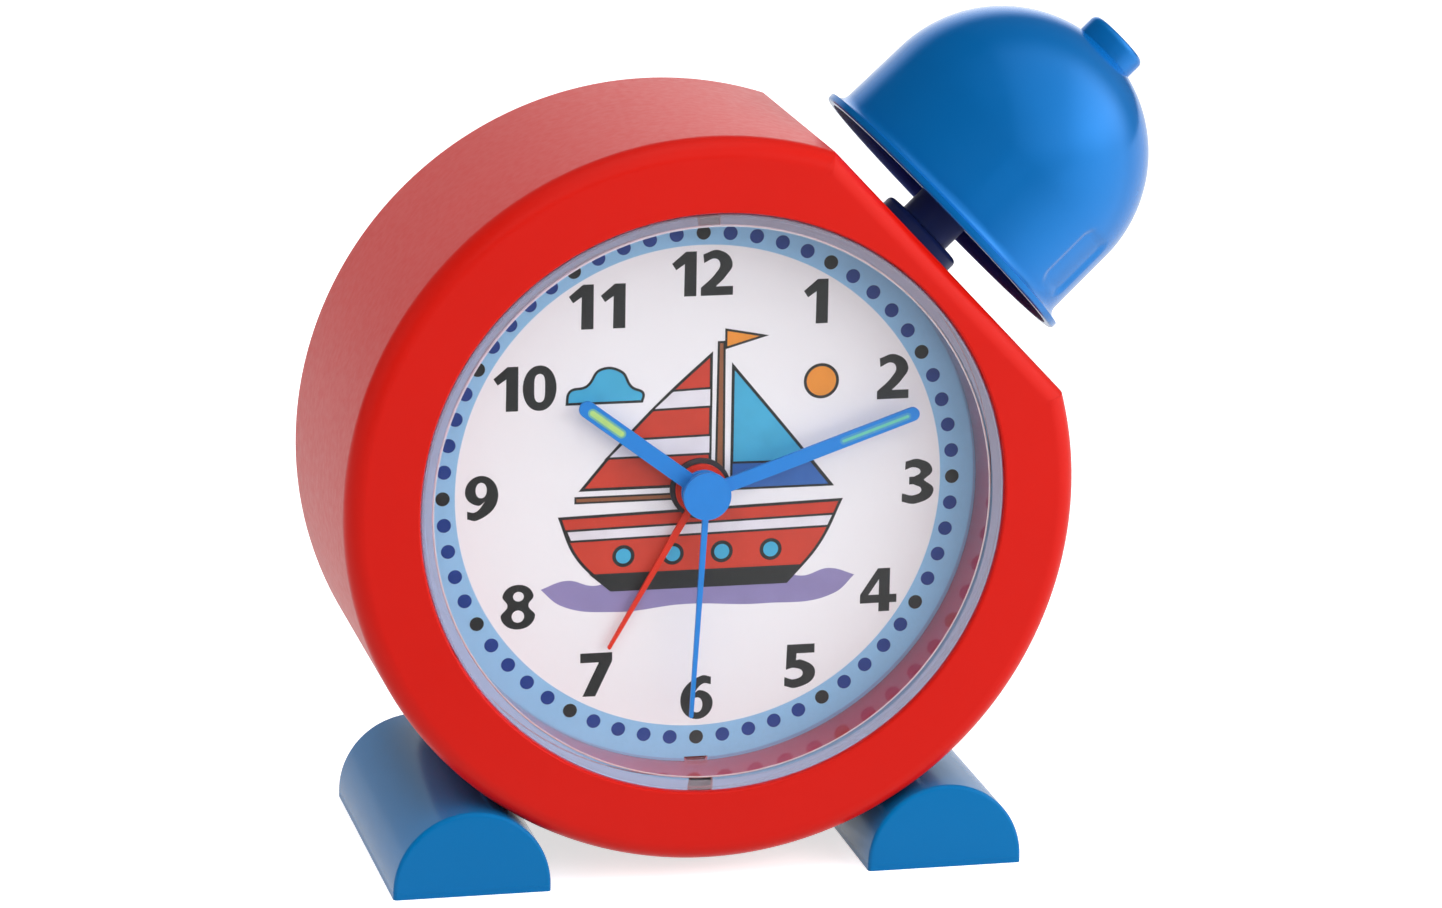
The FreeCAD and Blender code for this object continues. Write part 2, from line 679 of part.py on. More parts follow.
# Hands, their inlays and the coaxial tubes that carry them


def hand(length, width, plane, hub_radius, bore, tip_width=None):
    """A flat hand that points to 12 o'clock: a blade with a round tip on a round hub."""
    tip = (tip_width or width) / 2
    root = width / 2
    end = length - tip
    outline = Part.Wire([
        Part.makeLine(Vector(-root, plane, 0), Vector(-tip, plane, end)),
        Part.Arc(Vector(-tip, plane, end), Vector(0, plane, length), Vector(tip, plane, end)).toShape(),
        Part.makeLine(Vector(tip, plane, end), Vector(root, plane, 0)),
        Part.makeLine(Vector(root, plane, 0), Vector(-root, plane, 0)),
    ])
    blade = Part.Face(outline).extrude(DEPTH * HAND_THICKNESS)
    hub = disc(hub_radius, plane, plane + HAND_THICKNESS)
    return joined([blade, hub]).cut(disc(bore, plane - 1, plane + 2))


def inlay(start, end, width, plane, depth):
    """A strip with round ends, let into the front of a hand that points to 12 o'clock."""
    half = width / 2
    low = start + half
    high = end - half
    outline = Part.Wire([
        Part.makeLine(Vector(-half, plane, low), Vector(-half, plane, high)),
        Part.Arc(Vector(-half, plane, high), Vector(0, plane, end), Vector(half, plane, high)).toShape(),
        Part.makeLine(Vector(half, plane, high), Vector(half, plane, low)),
        Part.Arc(Vector(half, plane, low), Vector(0, plane, start), Vector(-half, plane, low)).toShape(),
    ])
    return Part.Face(outline).extrude(DEPTH * depth)


MINUTE_INLAY = (22.0, 32.6, 0.8)
HOUR_INLAY = (15.3, 21.6, 1.3)


def make_minute_hand():
    blade = hand(34.35, 2.1, MINUTE_PLANE, 3.0, MINUTE_TUBE_RADIUS)
    groove = inlay(*MINUTE_INLAY, MINUTE_PLANE - 1, 1 + INLAY_DEPTH)
    return turned(blade.cut(groove), MINUTE_ANGLE)


def make_hour_hand():
    blade = hand(23.35, 2.5, HOUR_PLANE, 3.3, HOUR_TUBE_RADIUS)
    groove = inlay(*HOUR_INLAY, HOUR_PLANE - 1, 1 + INLAY_DEPTH)
    return turned(blade.cut(groove), HOUR_ANGLE)


def make_minute_inlay():
    return turned(inlay(*MINUTE_INLAY, MINUTE_PLANE, INLAY_DEPTH), MINUTE_ANGLE)


def make_hour_inlay():
    return turned(inlay(*HOUR_INLAY, HOUR_PLANE, INLAY_DEPTH), HOUR_ANGLE)


def make_alarm_hand():
    blade = hand(27.7, 0.9, ALARM_PLANE, 3.9, ALARM_TUBE_RADIUS, 0.5)
    return turned(blade, ALARM_ANGLE)


def make_second_hand():
    blade = hand(34.3, 0.8, SECOND_PLANE, 2.0, 0.6, 0.6)
    cap = disc(CAP_RADIUS, CAP_FRONT, CAP_BACK)
    cap = rounded(cap, 0.25, lies_at_depth(CAP_FRONT))
    whole = joined([blade, cap]).cut(disc(SECOND_ARBOR_RADIUS, CAP_FRONT + 0.3, CAP_BACK + 1))
    return turned(whole, SECOND_ANGLE)


def make_cannon_pinion():
    pinion = toothed_disc(CANNON_TEETH, MINUTE_MODULE, CANNON_Y, CENTRE, 0.0, True)
    tube = disc(MINUTE_TUBE_RADIUS, MINUTE_PLANE, CANNON_Y[0] + 0.5)
    return joined([pinion, tube]).cut(disc(SECOND_ARBOR_RADIUS + RUN, 0, 30))


def make_hour_wheel():
    wheel = toothed_disc(HOUR_TEETH, HOUR_MODULE, HOUR_WHEEL_Y)
    tube = disc(HOUR_TUBE_RADIUS, HOUR_PLANE, HOUR_WHEEL_Y[0] + 0.5)
    return joined([wheel, tube]).cut(disc(MINUTE_TUBE_RADIUS + RUN, 0, 30))


def make_alarm_wheel():
    wheel = toothed_disc(ALARM_TEETH, MINUTE_MODULE, ALARM_WHEEL_Y)
    tube = disc(ALARM_TUBE_RADIUS, ALARM_PLANE, ALARM_WHEEL_Y[0] + 0.5)
    return joined([wheel, tube]).cut(disc(HOUR_TUBE_RADIUS + RUN, 0, 30))


def make_second_wheel():
    wheel = toothed_disc(SECOND_TEETH, SECOND_MODULE, SECOND_WHEEL_Y)
    return joined([wheel, disc(SECOND_ARBOR_RADIUS, CAP_FRONT + 0.4, ARBOR_END)])


# Off-centre wheels, setting shafts and the step motor


def intermediate_phases():
    """Phases of the intermediate wheel and of its leaves, so that both are in mesh."""
    bearing = clock_bearing(CENTRE, INTERMEDIATE_PLACE)
    wheel = meshing_phase(0.0, CANNON_TEETH, INTERMEDIATE_TEETH, bearing)
    leaves = meshing_phase(0.0, HOUR_TEETH, INTERMEDIATE_LEAVES, bearing)
    return wheel, leaves


def make_intermediate_wheel():
    wheel_phase, leaf_phase = intermediate_phases()
    place = INTERMEDIATE_PLACE
    wheel = toothed_disc(INTERMEDIATE_TEETH, MINUTE_MODULE, INTERMEDIATE_Y, place, wheel_phase)
    leaves = toothed_disc(INTERMEDIATE_LEAVES, HOUR_MODULE, HOUR_LEAVES_Y, place, leaf_phase, True)
    hub = disc(1.6, HOUR_LEAVES_Y[1] - 0.5, INTERMEDIATE_Y[0] + 0.5, *place)
    arbor = disc(0.7, CASE_FRONT + 0.6, MIDDLE_PLATE_Y[1], *place)
    return joined([wheel, leaves, hub, arbor])


def make_setting_shaft():
    wheel_phase = intermediate_phases()[0]
    bearing = clock_bearing(INTERMEDIATE_PLACE, SETTING_PLACE)
    phase = meshing_phase(wheel_phase, INTERMEDIATE_TEETH, SETTING_TEETH, bearing)
    pinion = toothed_disc(SETTING_TEETH, MINUTE_MODULE, CANNON_Y, SETTING_PLACE, phase, True)
    shaft = disc(KNOB_SHAFT_RADIUS, CANNON_Y[1] - 0.5, REAR_KNOB_BACK - 2, *SETTING_PLACE)
    pivot = disc(0.7, CASE_FRONT + 0.6, CANNON_Y[0] + 0.5, *SETTING_PLACE)
    return joined([pinion, shaft, pivot])


def make_alarm_setting_shaft():
    bearing = clock_bearing(CENTRE, ALARM_SETTING_PLACE)
    phase = meshing_phase(0.0, ALARM_TEETH, ALARM_SETTING_TEETH, bearing)
    pinion = toothed_disc(ALARM_SETTING_TEETH, MINUTE_MODULE, (15.7, 17.5), ALARM_SETTING_PLACE, phase, True)
    shaft = disc(KNOB_SHAFT_RADIUS, 17.2, REAR_KNOB_BACK - 2, *ALARM_SETTING_PLACE)
    pivot = disc(0.7, CASE_FRONT + 0.6, 16.2, *ALARM_SETTING_PLACE)
    return joined([pinion, shaft, pivot])


def make_third_wheel():
    bearing = clock_bearing(CENTRE, THIRD_PLACE)
    phase = meshing_phase(0.0, SECOND_TEETH, THIRD_LEAVES, bearing)
    leaves = toothed_disc(THIRD_LEAVES, SECOND_MODULE, THIRD_LEAVES_Y, THIRD_PLACE, phase, True)
    wheel = toothed_disc(THIRD_TEETH, SECOND_MODULE, THIRD_WHEEL_Y, THIRD_PLACE)
    hub = disc(1.0, THIRD_LEAVES_Y[1] - 0.3, THIRD_WHEEL_Y[0] + 0.3, *THIRD_PLACE)
    arbor = disc(0.4, MIDDLE_PLATE_Y[0], ARBOR_END, *THIRD_PLACE)
    return joined([leaves, wheel, hub, arbor])


def make_rotor_pinion():
    bearing = clock_bearing(THIRD_PLACE, ROTOR_PLACE)
    phase = meshing_phase(0.0, THIRD_TEETH, ROTOR_LEAVES, bearing)
    leaves = toothed_disc(ROTOR_LEAVES, SECOND_MODULE, ROTOR_LEAVES_Y, ROTOR_PLACE, phase, True)
    sleeve = disc(1.0, MAGNET_Y[0] - 0.4, ROTOR_LEAVES_Y[0] + 0.1, *ROTOR_PLACE)
    arbor = disc(0.4, MAGNET_Y[0] - 1.2, ARBOR_END, *ROTOR_PLACE)
    return joined([leaves, sleeve, arbor])


def make_rotor_magnet():
    return ring(MAGNET_RADIUS, 1.0, MAGNET_Y[0], MAGNET_Y[1], *ROTOR_PLACE)


STATOR_Y = (22.6, 23.4)
STATOR_HALF_LENGTH = 14.0
COIL_Z = -21.5
COIL_RADIUS = 3.3


def make_stator():
    """Thin laminated plate with a round window for the rotor and two legs to the coil."""
    x, z = ROTOR_PLACE
    bar = block(x - STATOR_HALF_LENGTH, x + STATOR_HALF_LENGTH, *STATOR_Y, z - 3.0, z + 2.6)
    ring_part = disc(MAGNET_RADIUS + 2.2, *STATOR_Y, x, z)
    legs = []
    for side in (-1, 1):
        edge = x + side * STATOR_HALF_LENGTH
        inner = edge - side * 3.5
        legs.append(block(min(edge, inner), max(edge, inner), *STATOR_Y, COIL_Z - 1.5, z))
    plate = joined([bar, ring_part] + legs)
    window = disc(MAGNET_RADIUS + 0.4, 20, 26, x, z)
    upper_limit = block(-40, 40, 20, 26, z + 4.4, z + 20)
    lower_limit = block(x - 10, x + 10, 20, 26, z - 20, z - 4.2)
    return without(plate, [window, upper_limit, lower_limit])


def make_motor_coil():
    """Copper winding on a flanged bobbin, with the flat core that joins the stator's legs."""
    x = ROTOR_PLACE[0]
    half = STATOR_HALF_LENGTH - 3.9
    y = STATOR_Y[1] + 0.5
    sideways = Vector(1, 0, 0)
    winding = Part.makeCylinder(COIL_RADIUS - 0.5, 2 * half - 1, Vector(x - half + 0.5, y, COIL_Z), sideways)
    flanges = []
    for start in (x - half, x + half - 1.0):
        flanges.append(Part.makeCylinder(COIL_RADIUS, 1.0, Vector(start, y, COIL_Z), sideways))
    core = block(x - STATOR_HALF_LENGTH, x + STATOR_HALF_LENGTH, y - 0.5, y + 0.5, COIL_Z - 1.5, COIL_Z + 1.5)
    return joined([winding, core] + flanges)


BOARD_Y = (17.6, 18.6)


def make_circuit_board():
    board = block(-24.0, 17.0, *BOARD_Y, -25.6, -12.6)
    chip = disc(2.6, BOARD_Y[1] - 0.2, BOARD_Y[1] + 1.0, -14.0, -20.0)
    holes = [disc(2.4, 16, 20, *ROTOR_PLACE)]
    return without(joined([board, chip]), holes)


def make_alarm_contact():
    """Thin springy strip from the circuit board up to the rim of the alarm wheel."""
    return block(-8.0, -5.0, BOARD_Y[0] - 0.2, BOARD_Y[0], -17.0, -6.0)


def make_quartz_crystal():
    start = Vector(-22.5, BOARD_Y[1] + 1.05, -14.4)
    can = Part.makeCylinder(1.0, 6.0, start, Vector(1, 0, 0))
    return rounded(can, 0.3, lambda edge: edge.BoundBox.XMin > start.x + 5.9)


MOVEMENT_SCREW_PLACES = ((-35.0, 12.0), (24.5, -12.0))


def make_movement_front():
    """Front plate of the movement with its centre bush, ears, posts and front pivots."""
    plate = block(CASE_X[0], CASE_X[1], CASE_FRONT, CASE_FRONT + CASE_PLATE, CASE_Z[0], CASE_Z[1])
    plate = rounded(plate, 3.0, lambda edge: edge.BoundBox.YLength > CASE_PLATE - 1e-4)
    parts = [plate, disc(BUSH_RADIUS, BUSH_FRONT, CASE_FRONT + 0.5)]
    top = CASE_FRONT + CASE_PLATE
    for x, z in MIDDLE_PLATE_POSTS:
        parts.append(disc(1.8, top - 0.5, MIDDLE_PLATE_Y[0], x, z))
    parts.append(disc(1.9, top - 0.5, MAGNET_Y[0] - 0.6, *ROTOR_PLACE))
    parts.append(disc(1.8, top - 0.5, CANNON_Y[0] - 0.3, *SETTING_PLACE))
    for x, z in MOVEMENT_SCREW_PLACES:
        reach = CASE_X[0] + 1 if x < 0 else CASE_X[1] - 1
        parts.append(disc(3.0, top + 1.5, top + 3.0, x, z))
        parts.append(block(min(x, reach), max(x, reach), top + 1.5, top + 3.0, z - 3, z + 3))
        parts.append(block(reach - 1, reach + 1, top - 0.5, top + 3.0, z - 3, z + 3))
    front = joined(parts)
    holes = [disc(ALARM_TUBE_RADIUS + RUN, 8, 20)]
    for place in (INTERMEDIATE_PLACE, SETTING_PLACE, ALARM_SETTING_PLACE):
        holes.append(disc(0.7 + RUN, CASE_FRONT + 0.5, 21, *place))
    holes.append(disc(0.4 + RUN, MAGNET_Y[0] - 1.3, 22, *ROTOR_PLACE))
    for x, z in MOVEMENT_SCREW_PLACES:
        holes.append(disc(1.3, 12, 20, x, z))
    return without(front, holes)


MIDDLE_PLATE_POSTS = ((-16.0, 13.5), (8.5, 13.5), (10.5, -9.5), (-22.5, -10.0))


def make_middle_plate():
    """Thin plate on four posts that carries the rear and front pivots of the inner arbors."""
    plate = block(-25.0, 12.6, *MIDDLE_PLATE_Y, -12.6, 16.0)
    gap = MAGNET_RADIUS + 2.8
    x, z = ROTOR_PLACE
    holes = [
        disc(SECOND_ARBOR_RADIUS + RUN, 20, 25),
        disc(0.7 + RUN, 20, 25, *INTERMEDIATE_PLACE),
        disc(0.4 + RUN, 20, 25, *THIRD_PLACE),
        disc(KNOB_SHAFT_RADIUS + 1.0, 20, 25, *SETTING_PLACE),
        disc(KNOB_SHAFT_RADIUS + 0.5, 20, 25, *ALARM_SETTING_PLACE),
        block(x - STATOR_HALF_LENGTH - 0.4, x + STATOR_HALF_LENGTH + 0.4, 20, 25, -30, z + 3.0),
        disc(gap, 20, 25, x, z),
    ]
    return without(plate, holes)


def make_movement_rear():
    """Rear case of the movement: an open box with bosses for the rear pivots."""
    front = CASE_FRONT + CASE_PLATE
    outer = block(CASE_X[0], CASE_X[1], front, CASE_BACK, CASE_Z[0], CASE_Z[1])
    outer = rounded(outer, 3.0, lambda edge: edge.BoundBox.YLength > CASE_BACK - front - 1e-4)
    outer = rounded(outer, 0.8, lies_at_depth(CASE_BACK))
    inner = block(
        CASE_X[0] + CASE_WALL, CASE_X[1] - CASE_WALL, front - 1, CASE_BACK - 1.0,
        CASE_Z[0] + CASE_WALL, CASE_Z[1] - CASE_WALL,
    )
    inner = rounded(inner, 1.8, lambda edge: edge.BoundBox.YLength > CASE_BACK - front - 1)
    parts = [outer.cut(inner)]
    inside = CASE_BACK - 1.0
    parts.append(disc(2.0, inside - 0.9, inside + 0.5))
    parts.append(disc(1.4, inside - 0.9, inside + 0.5, *THIRD_PLACE))
    parts.append(disc(1.4, inside - 0.9, inside + 0.5, *ROTOR_PLACE))
    parts.append(disc(3.2, inside - 3.0, inside + 0.5, *SETTING_PLACE))
    parts.append(disc(3.2, inside - 3.0, inside + 0.5, *ALARM_SETTING_PLACE))
    case = joined(parts)
    holes = [
        disc(SECOND_ARBOR_RADIUS + RUN, 20, ARBOR_END + 0.2),
        disc(0.4 + RUN, 20, ARBOR_END + 0.2, *THIRD_PLACE),
        disc(0.4 + RUN, 20, ARBOR_END + 0.2, *ROTOR_PLACE),
        disc(KNOB_SHAFT_RADIUS + RUN, 15, 30, *SETTING_PLACE),
        disc(KNOB_SHAFT_RADIUS + RUN, 15, 30, *ALARM_SETTING_PLACE),
    ]
    for x, z in MOVEMENT_SCREW_PLACES:
        reach = CASE_X[0] if x < 0 else CASE_X[1]
        holes.append(block(reach - 2.5, reach + 2.5, front - 1, front + 3.2, z - 3.2, z + 3.2))
    return without(case, holes)


def make_movement_screws():
    screws = []
    for x, z in MOVEMENT_SCREW_PLACES:
        place = Vector(x, CASE_FRONT + CASE_PLATE + 3.0, z)
        screws.append(aimed(screw(2.4, 1.4, 1.1, 4.6), place, DEPTH))
    return Part.makeCompound(screws)


# Back cover and what it carries


def make_back_cover():
    back = COVER_FRONT + COVER_THICKNESS
    plate = drum_prism(COVER_RADIUS, COVER_FLAT, COVER_FRONT, back)
    plate = rounded(plate, 0.5, lies_at_depth(back))
    additions = []
    for place in (SETTING_PLACE, ALARM_SETTING_PLACE):
        additions.append(disc(KNOB_CUP_RADIUS + 1.2, KNOB_CUP_FLOOR, back - 0.5, *place))
    well_outer = block(
        -WELL_X - 1.4, WELL_X + 1.4, WELL_FLOOR - SHEET, back - 0.5, WELL_Z[0] - 1.4, WELL_Z[1] + 1.4,
    )
    additions.append(rounded(well_outer, 1.5, lambda edge: edge.BoundBox.YLength > 12))
    rim = (SPEAKER_RADIUS + 1.5, SPEAKER_RADIUS + 0.1)
    additions.append(ring(*rim, COVER_FRONT - 4.0, COVER_FRONT + 0.5, SPEAKER_X, SPEAKER_Z))
    for x, z in BOARD_POSTS:
        additions.append(disc(2.0, SOUND_BOARD_Y[1], COVER_FRONT + 0.5, x, z))
        additions.append(disc(1.0, SOUND_BOARD_Y[0] - 0.4, COVER_FRONT, x, z))
    cover = joined([plate] + additions)
    cuts = [block(-WELL_X, WELL_X, WELL_FLOOR, back + 1, WELL_Z[0], WELL_Z[1])]
    cuts.append(block(-WELL_X - 1.0, WELL_X + 1.0, DOOR_FRONT, back + 1, WELL_Z[0] - 1.0, WELL_Z[1] + 1.0))
    for place in (SETTING_PLACE, ALARM_SETTING_PLACE):
        cuts.append(disc(KNOB_CUP_RADIUS, KNOB_CUP_FLOOR + 1.2, back + 1, *place))
        cuts.append(disc(KNOB_SHAFT_RADIUS + 0.4, KNOB_CUP_FLOOR - 1, back, *place))
    for angle in POST_ANGLES:
        place = clock_point(POST_CIRCLE, angle)
        cuts.append(disc(1.5, COVER_FRONT - 1, back + 1, place.x, place.z))
        cuts.append(disc(2.7, back - 1.0, back + 1, place.x, place.z))
    slot_half = SWITCH_TRAVEL / 2 + 2.2
    cuts.append(block(
        SWITCH_X - 1.9, SWITCH_X + 1.9, COVER_FRONT - 1, back + 1,
        SWITCH_Z - slot_half, SWITCH_Z + slot_half,
    ))
    for step in (-3, -2, -1, 0, 1, 2, 3):
        z = SPEAKER_Z + step * 3.0
        half = math.sqrt((SPEAKER_RADIUS - 2.0) ** 2 - (step * 3.0) ** 2)
        cuts.append(block(SPEAKER_X - half, SPEAKER_X + half, COVER_FRONT - 1, back + 1, z - 0.7, z + 0.7))
    return without(cover, cuts)


def make_battery_cover():
    back = COVER_FRONT + COVER_THICKNESS
    x = WELL_X + 0.8
    plate = block(-x, x, DOOR_FRONT + SLACK, back, WELL_Z[0] - 0.8, WELL_Z[1] + 0.8)
    plate = rounded(plate, 0.8, lambda edge: edge.BoundBox.YLength > 1)
    lip = block(-7, 7, DOOR_FRONT - 2.2, DOOR_FRONT + 0.5, WELL_Z[1] - 1.6, WELL_Z[1] - 0.4)
    ribs = []
    for step in range(5):
        z = WELL_Z[0] + 5.0 + 1.8 * step
        ribs.append(block(-7, 7, back - 0.3, back + 0.5, z - 0.4, z + 0.4))
    return joined([plate, lip] + ribs)


def make_case_screws():
    back = COVER_FRONT + COVER_THICKNESS
    screws = []
    for angle in POST_ANGLES:
        place = clock_point(POST_CIRCLE, angle, back - 1.0)
        screws.append(aimed(screw(2.5, 1.0, 1.25, 12.0), place, DEPTH))
    return Part.makeCompound(screws)


def make_rear_knob(place):
    """Round setting knob with grip flutes, bored for its shaft."""
    front = KNOB_CUP_FLOOR + 1.6
    knob = disc(REAR_KNOB_RADIUS, front, REAR_KNOB_BACK)
    knob = rounded(knob, 0.8, lies_at_depth(REAR_KNOB_BACK))
    flutes = []
    for step in range(12):
        flute = disc(0.8, front - 1, REAR_KNOB_BACK + 1, 0, REAR_KNOB_RADIUS + 0.3)
        flutes.append(turned(flute, 30.0 * step))
    pointer = block(-0.5, 0.5, REAR_KNOB_BACK - 0.4, REAR_KNOB_BACK + 1, 0.8, REAR_KNOB_RADIUS - 1.6)
    bore = disc(KNOB_SHAFT_RADIUS, front - 1, REAR_KNOB_BACK - 2)
    knob = without(knob, flutes + [pointer, bore])
    knob.translate(Vector(place[0], 0, place[1]))
    return knob


def make_cell(z, positive_side):
    """Round dry cell that lies across the clock, with a raised contact at one end."""
    sideways = Vector(positive_side, 0, 0)
    body_length = CELL_LENGTH - 1.0
    start = Vector(-positive_side * CELL_LENGTH / 2, CELL_Y, z)
    body = Part.makeCylinder(CELL_RADIUS, body_length, start, sideways)
    body = rounded(body, 0.5, lambda edge: edge.BoundBox.XLength < 1e-3)
    nub = Part.makeCylinder(2.7, 2.0, start + sideways * (body_length - 1.0), sideways)
    return joined([body, nub])


def contact_plate(side, z0, z1, pads):
    """Sheet metal contact on the well's end wall, with a bent leaf or a flat pad for each cell."""
    outer = side * WELL_X
    inner = outer - side * 0.5
    parts = [block(*sorted((outer, inner)), CELL_Y - 5.5, CELL_Y + 5.5, z0, z1)]
    for z, springy in pads:
        face = side * (CELL_LENGTH / 2 + 0.1)
        width = 2.6
        if springy:
            parts.append(bent_leaf(outer, face, side, z, width))
        else:
            pad = sorted((face, inner))
            parts.append(block(*pad, CELL_Y - 1.6, CELL_Y + 1.6, z - width, z + width))
    return joined(parts)


def bent_leaf(outer, face, side, z, width):
    """A leaf that springs out of the plate in a blunt ridge towards the cell."""
    inner = outer - side * 0.4
    points = [
        Vector(inner, CELL_Y - 5.0, z - width),
        Vector(face, CELL_Y - 1.0, z - width),
        Vector(face, CELL_Y + 1.0, z - width),
        Vector(inner, CELL_Y + 5.0, z - width),
        Vector(inner, CELL_Y + 4.3, z - width),
        Vector(face + side * 0.5, CELL_Y + 0.7, z - width),
        Vector(face + side * 0.5, CELL_Y - 0.7, z - width),
        Vector(inner, CELL_Y - 4.3, z - width),
    ]
    outline = Part.makePolygon(points + [points[0]])
    return Part.Face(outline).extrude(Vector(0, 0, 2 * width))


def make_link_contact():
    return contact_plate(-1, CELL_Z[1] - 5.5, CELL_Z[0] + 5.5, ((CELL_Z[0], True), (CELL_Z[1], False)))


def make_positive_contact():
    return contact_plate(1, CELL_Z[0] - 5.5, CELL_Z[0] + 5.5, ((CELL_Z[0], False),))


def make_negative_contact():
    return contact_plate(1, CELL_Z[1] - 5.5, CELL_Z[1] + 5.5, ((CELL_Z[1], True),))


def make_speaker_frame():
    """Steel basket with a round magnet pot behind it."""
    back = COVER_FRONT
    rim = ring(SPEAKER_RADIUS, SPEAKER_RADIUS - 1.6, back - 2.6, back, SPEAKER_X, SPEAKER_Z)
    plate = disc(SPEAKER_RADIUS, back - 3.2, back - 2.5, SPEAKER_X, SPEAKER_Z)
    pot = disc(6.0, back - 6.2, back - 3.0, SPEAKER_X, SPEAKER_Z)
    return joined([rim, plate, pot])


def make_speaker_cone():
    """Shallow paper cone that rests on the basket's floor inside its rim."""
    back = COVER_FRONT
    floor = back - 2.5
    profile = Part.makePolygon([
        Vector(0, floor, 0),
        Vector(4.0, floor, 0),
        Vector(SPEAKER_RADIUS - 2.0, floor + 1.6, 0),
        Vector(SPEAKER_RADIUS - 2.0, floor + 1.9, 0),
        Vector(4.0, floor + 0.5, 0),
        Vector(0, floor + 0.9, 0),
        Vector(0, floor, 0),
    ])
    cone = Part.Face(profile).revolve(ORIGIN, DEPTH, 360)
    cone.translate(Vector(SPEAKER_X, 0, SPEAKER_Z))
    return cone


SOUND_BOARD_Y = (40.4, 41.4)
BOARD_POSTS = ((25.8, 21.3), (36.0, 6.6))


def make_sound_board():
    board = block(24.0, 38.0, *SOUND_BOARD_Y, 4.5, 23.5)
    chip = block(25.0, 28.0, SOUND_BOARD_Y[0] - 1.0, SOUND_BOARD_Y[0] + 0.5, 7.0, 12.0)
    holes = []
    for x, z in BOARD_POSTS:
        holes.append(disc(1.0 + SLACK, 39, 43, x, z))
    return without(joined([board, chip]), holes)


def make_alarm_switch_body():
    x, z = SWITCH_X, SWITCH_Z
    body = block(x - 2.6, x + 2.6, SOUND_BOARD_Y[1], COVER_FRONT - 1.0, z - 6, z + 6)
    slot = block(x - 1.1, x + 1.1, COVER_FRONT - 3.0, COVER_FRONT, z - 3.6, z + 3.6)
    return body.cut(slot)


def make_alarm_switch():
    """Slider at its lower, switched-off end: a thin tongue with a ribbed thumb piece."""
    back = COVER_FRONT + COVER_THICKNESS
    z = SWITCH_Z - SWITCH_TRAVEL / 2
    tongue = block(SWITCH_X - 1.0, SWITCH_X + 1.0, COVER_FRONT - 2.8, back, z - 1.8, z + 1.8)
    thumb = block(SWITCH_X - 1.6, SWITCH_X + 1.6, COVER_FRONT + 0.2, back + 1.2, z - 1.9, z + 1.9)
    grooves = []
    for step in (-1, 0, 1):
        middle = z + 1.1 * step
        grooves.append(block(SWITCH_X - 2, SWITCH_X + 2, back + 0.8, back + 2, middle - 0.25, middle + 0.25))
    return without(joined([tongue, thumb]), grooves)


# Every node and the function that makes it

NODES = {
    "housing": make_housing,
    "lens": make_lens,
    "dial": make_dial,
    "left_foot": lambda: make_foot(-1),
    "right_foot": lambda: make_foot(1),
    "left_sole": lambda: make_sole(-1),
    "right_sole": lambda: make_sole(1),
    "foot_screws": make_foot_screws,
    "bell": make_bell,
    "bell_knob": make_bell_knob,
    "bell_stem": make_bell_stem,
    "stem_clip": make_stem_clip,
    "stem_collar": make_stem_collar,
    "bell_spring": make_bell_spring,
    "plunger_bracket": make_plunger_bracket,
    "bracket_screws": make_bracket_screws,
    "snooze_board": make_snooze_board,
    "snooze_switch": make_snooze_switch,
    "minute_hand": make_minute_hand,
    "minute_inlay": make_minute_inlay,
    "cannon_pinion": make_cannon_pinion,
    "hour_hand": make_hour_hand,
    "hour_inlay": make_hour_inlay,
    "hour_wheel": make_hour_wheel,
    "second_hand": make_second_hand,
    "second_wheel": make_second_wheel,
    "alarm_hand": make_alarm_hand,
    "alarm_wheel": make_alarm_wheel,
    "intermediate_wheel": make_intermediate_wheel,
    "third_wheel": make_third_wheel,
    "rotor_pinion": make_rotor_pinion,
    "rotor_magnet": make_rotor_magnet,
    "time_setting_shaft": make_setting_shaft,
    "time_knob": lambda: make_rear_knob(SETTING_PLACE),
    "alarm_setting_shaft": make_alarm_setting_shaft,
    "alarm_knob": lambda: make_rear_knob(ALARM_SETTING_PLACE),
    "stator": make_stator,
    "motor_coil": make_motor_coil,
    "circuit_board": make_circuit_board,
    "alarm_contact": make_alarm_contact,
    "quartz_crystal": make_quartz_crystal,
    "movement_front": make_movement_front,
    "middle_plate": make_middle_plate,
    "movement_rear": make_movement_rear,
    "movement_screws": make_movement_screws,
    "back_cover": make_back_cover,
    "case_screws": make_case_screws,
    "battery_cover": make_battery_cover,
    "upper_cell": lambda: make_cell(CELL_Z[0], 1),
    "lower_cell": lambda: make_cell(CELL_Z[1], -1),
    "link_contact": make_link_contact,
    "positive_contact": make_positive_contact,
    "negative_contact": make_negative_contact,
    "speaker_frame": make_speaker_frame,
    "speaker_cone": make_speaker_cone,
    "sound_board": make_sound_board,
    "alarm_switch_body": make_alarm_switch_body,
    "alarm_switch": make_alarm_switch,
}


def write_nodes():
    os.makedirs("parts", exist_ok=True)
    for name, make in NODES.items():
        shape = make()
        shape.translate(HOUSING_TO_PART)
        solids = len(shape.Solids)
        print(name, "solids", solids, "valid", shape.isValid(), "volume", round(shape.Volume, 2))
        shape.exportStep("parts/" + name + ".step")


write_nodes()
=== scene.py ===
# %% [markdown]
# This clock is a red plastic drum on two blue half-round feet. A blue press bell stands on a flat that is
# cut into the drum's upper right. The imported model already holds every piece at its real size, on the body
# that carries it. It could be shown as it is, but its meshes are loose triangles in plain colours. So this
# file keeps the model as a fixed frame, remakes the pieces that are seen most, and gives each piece a finish.

# %% Load the frame
import bmesh
import bpy
import json
import math
from mathutils import Matrix, Vector


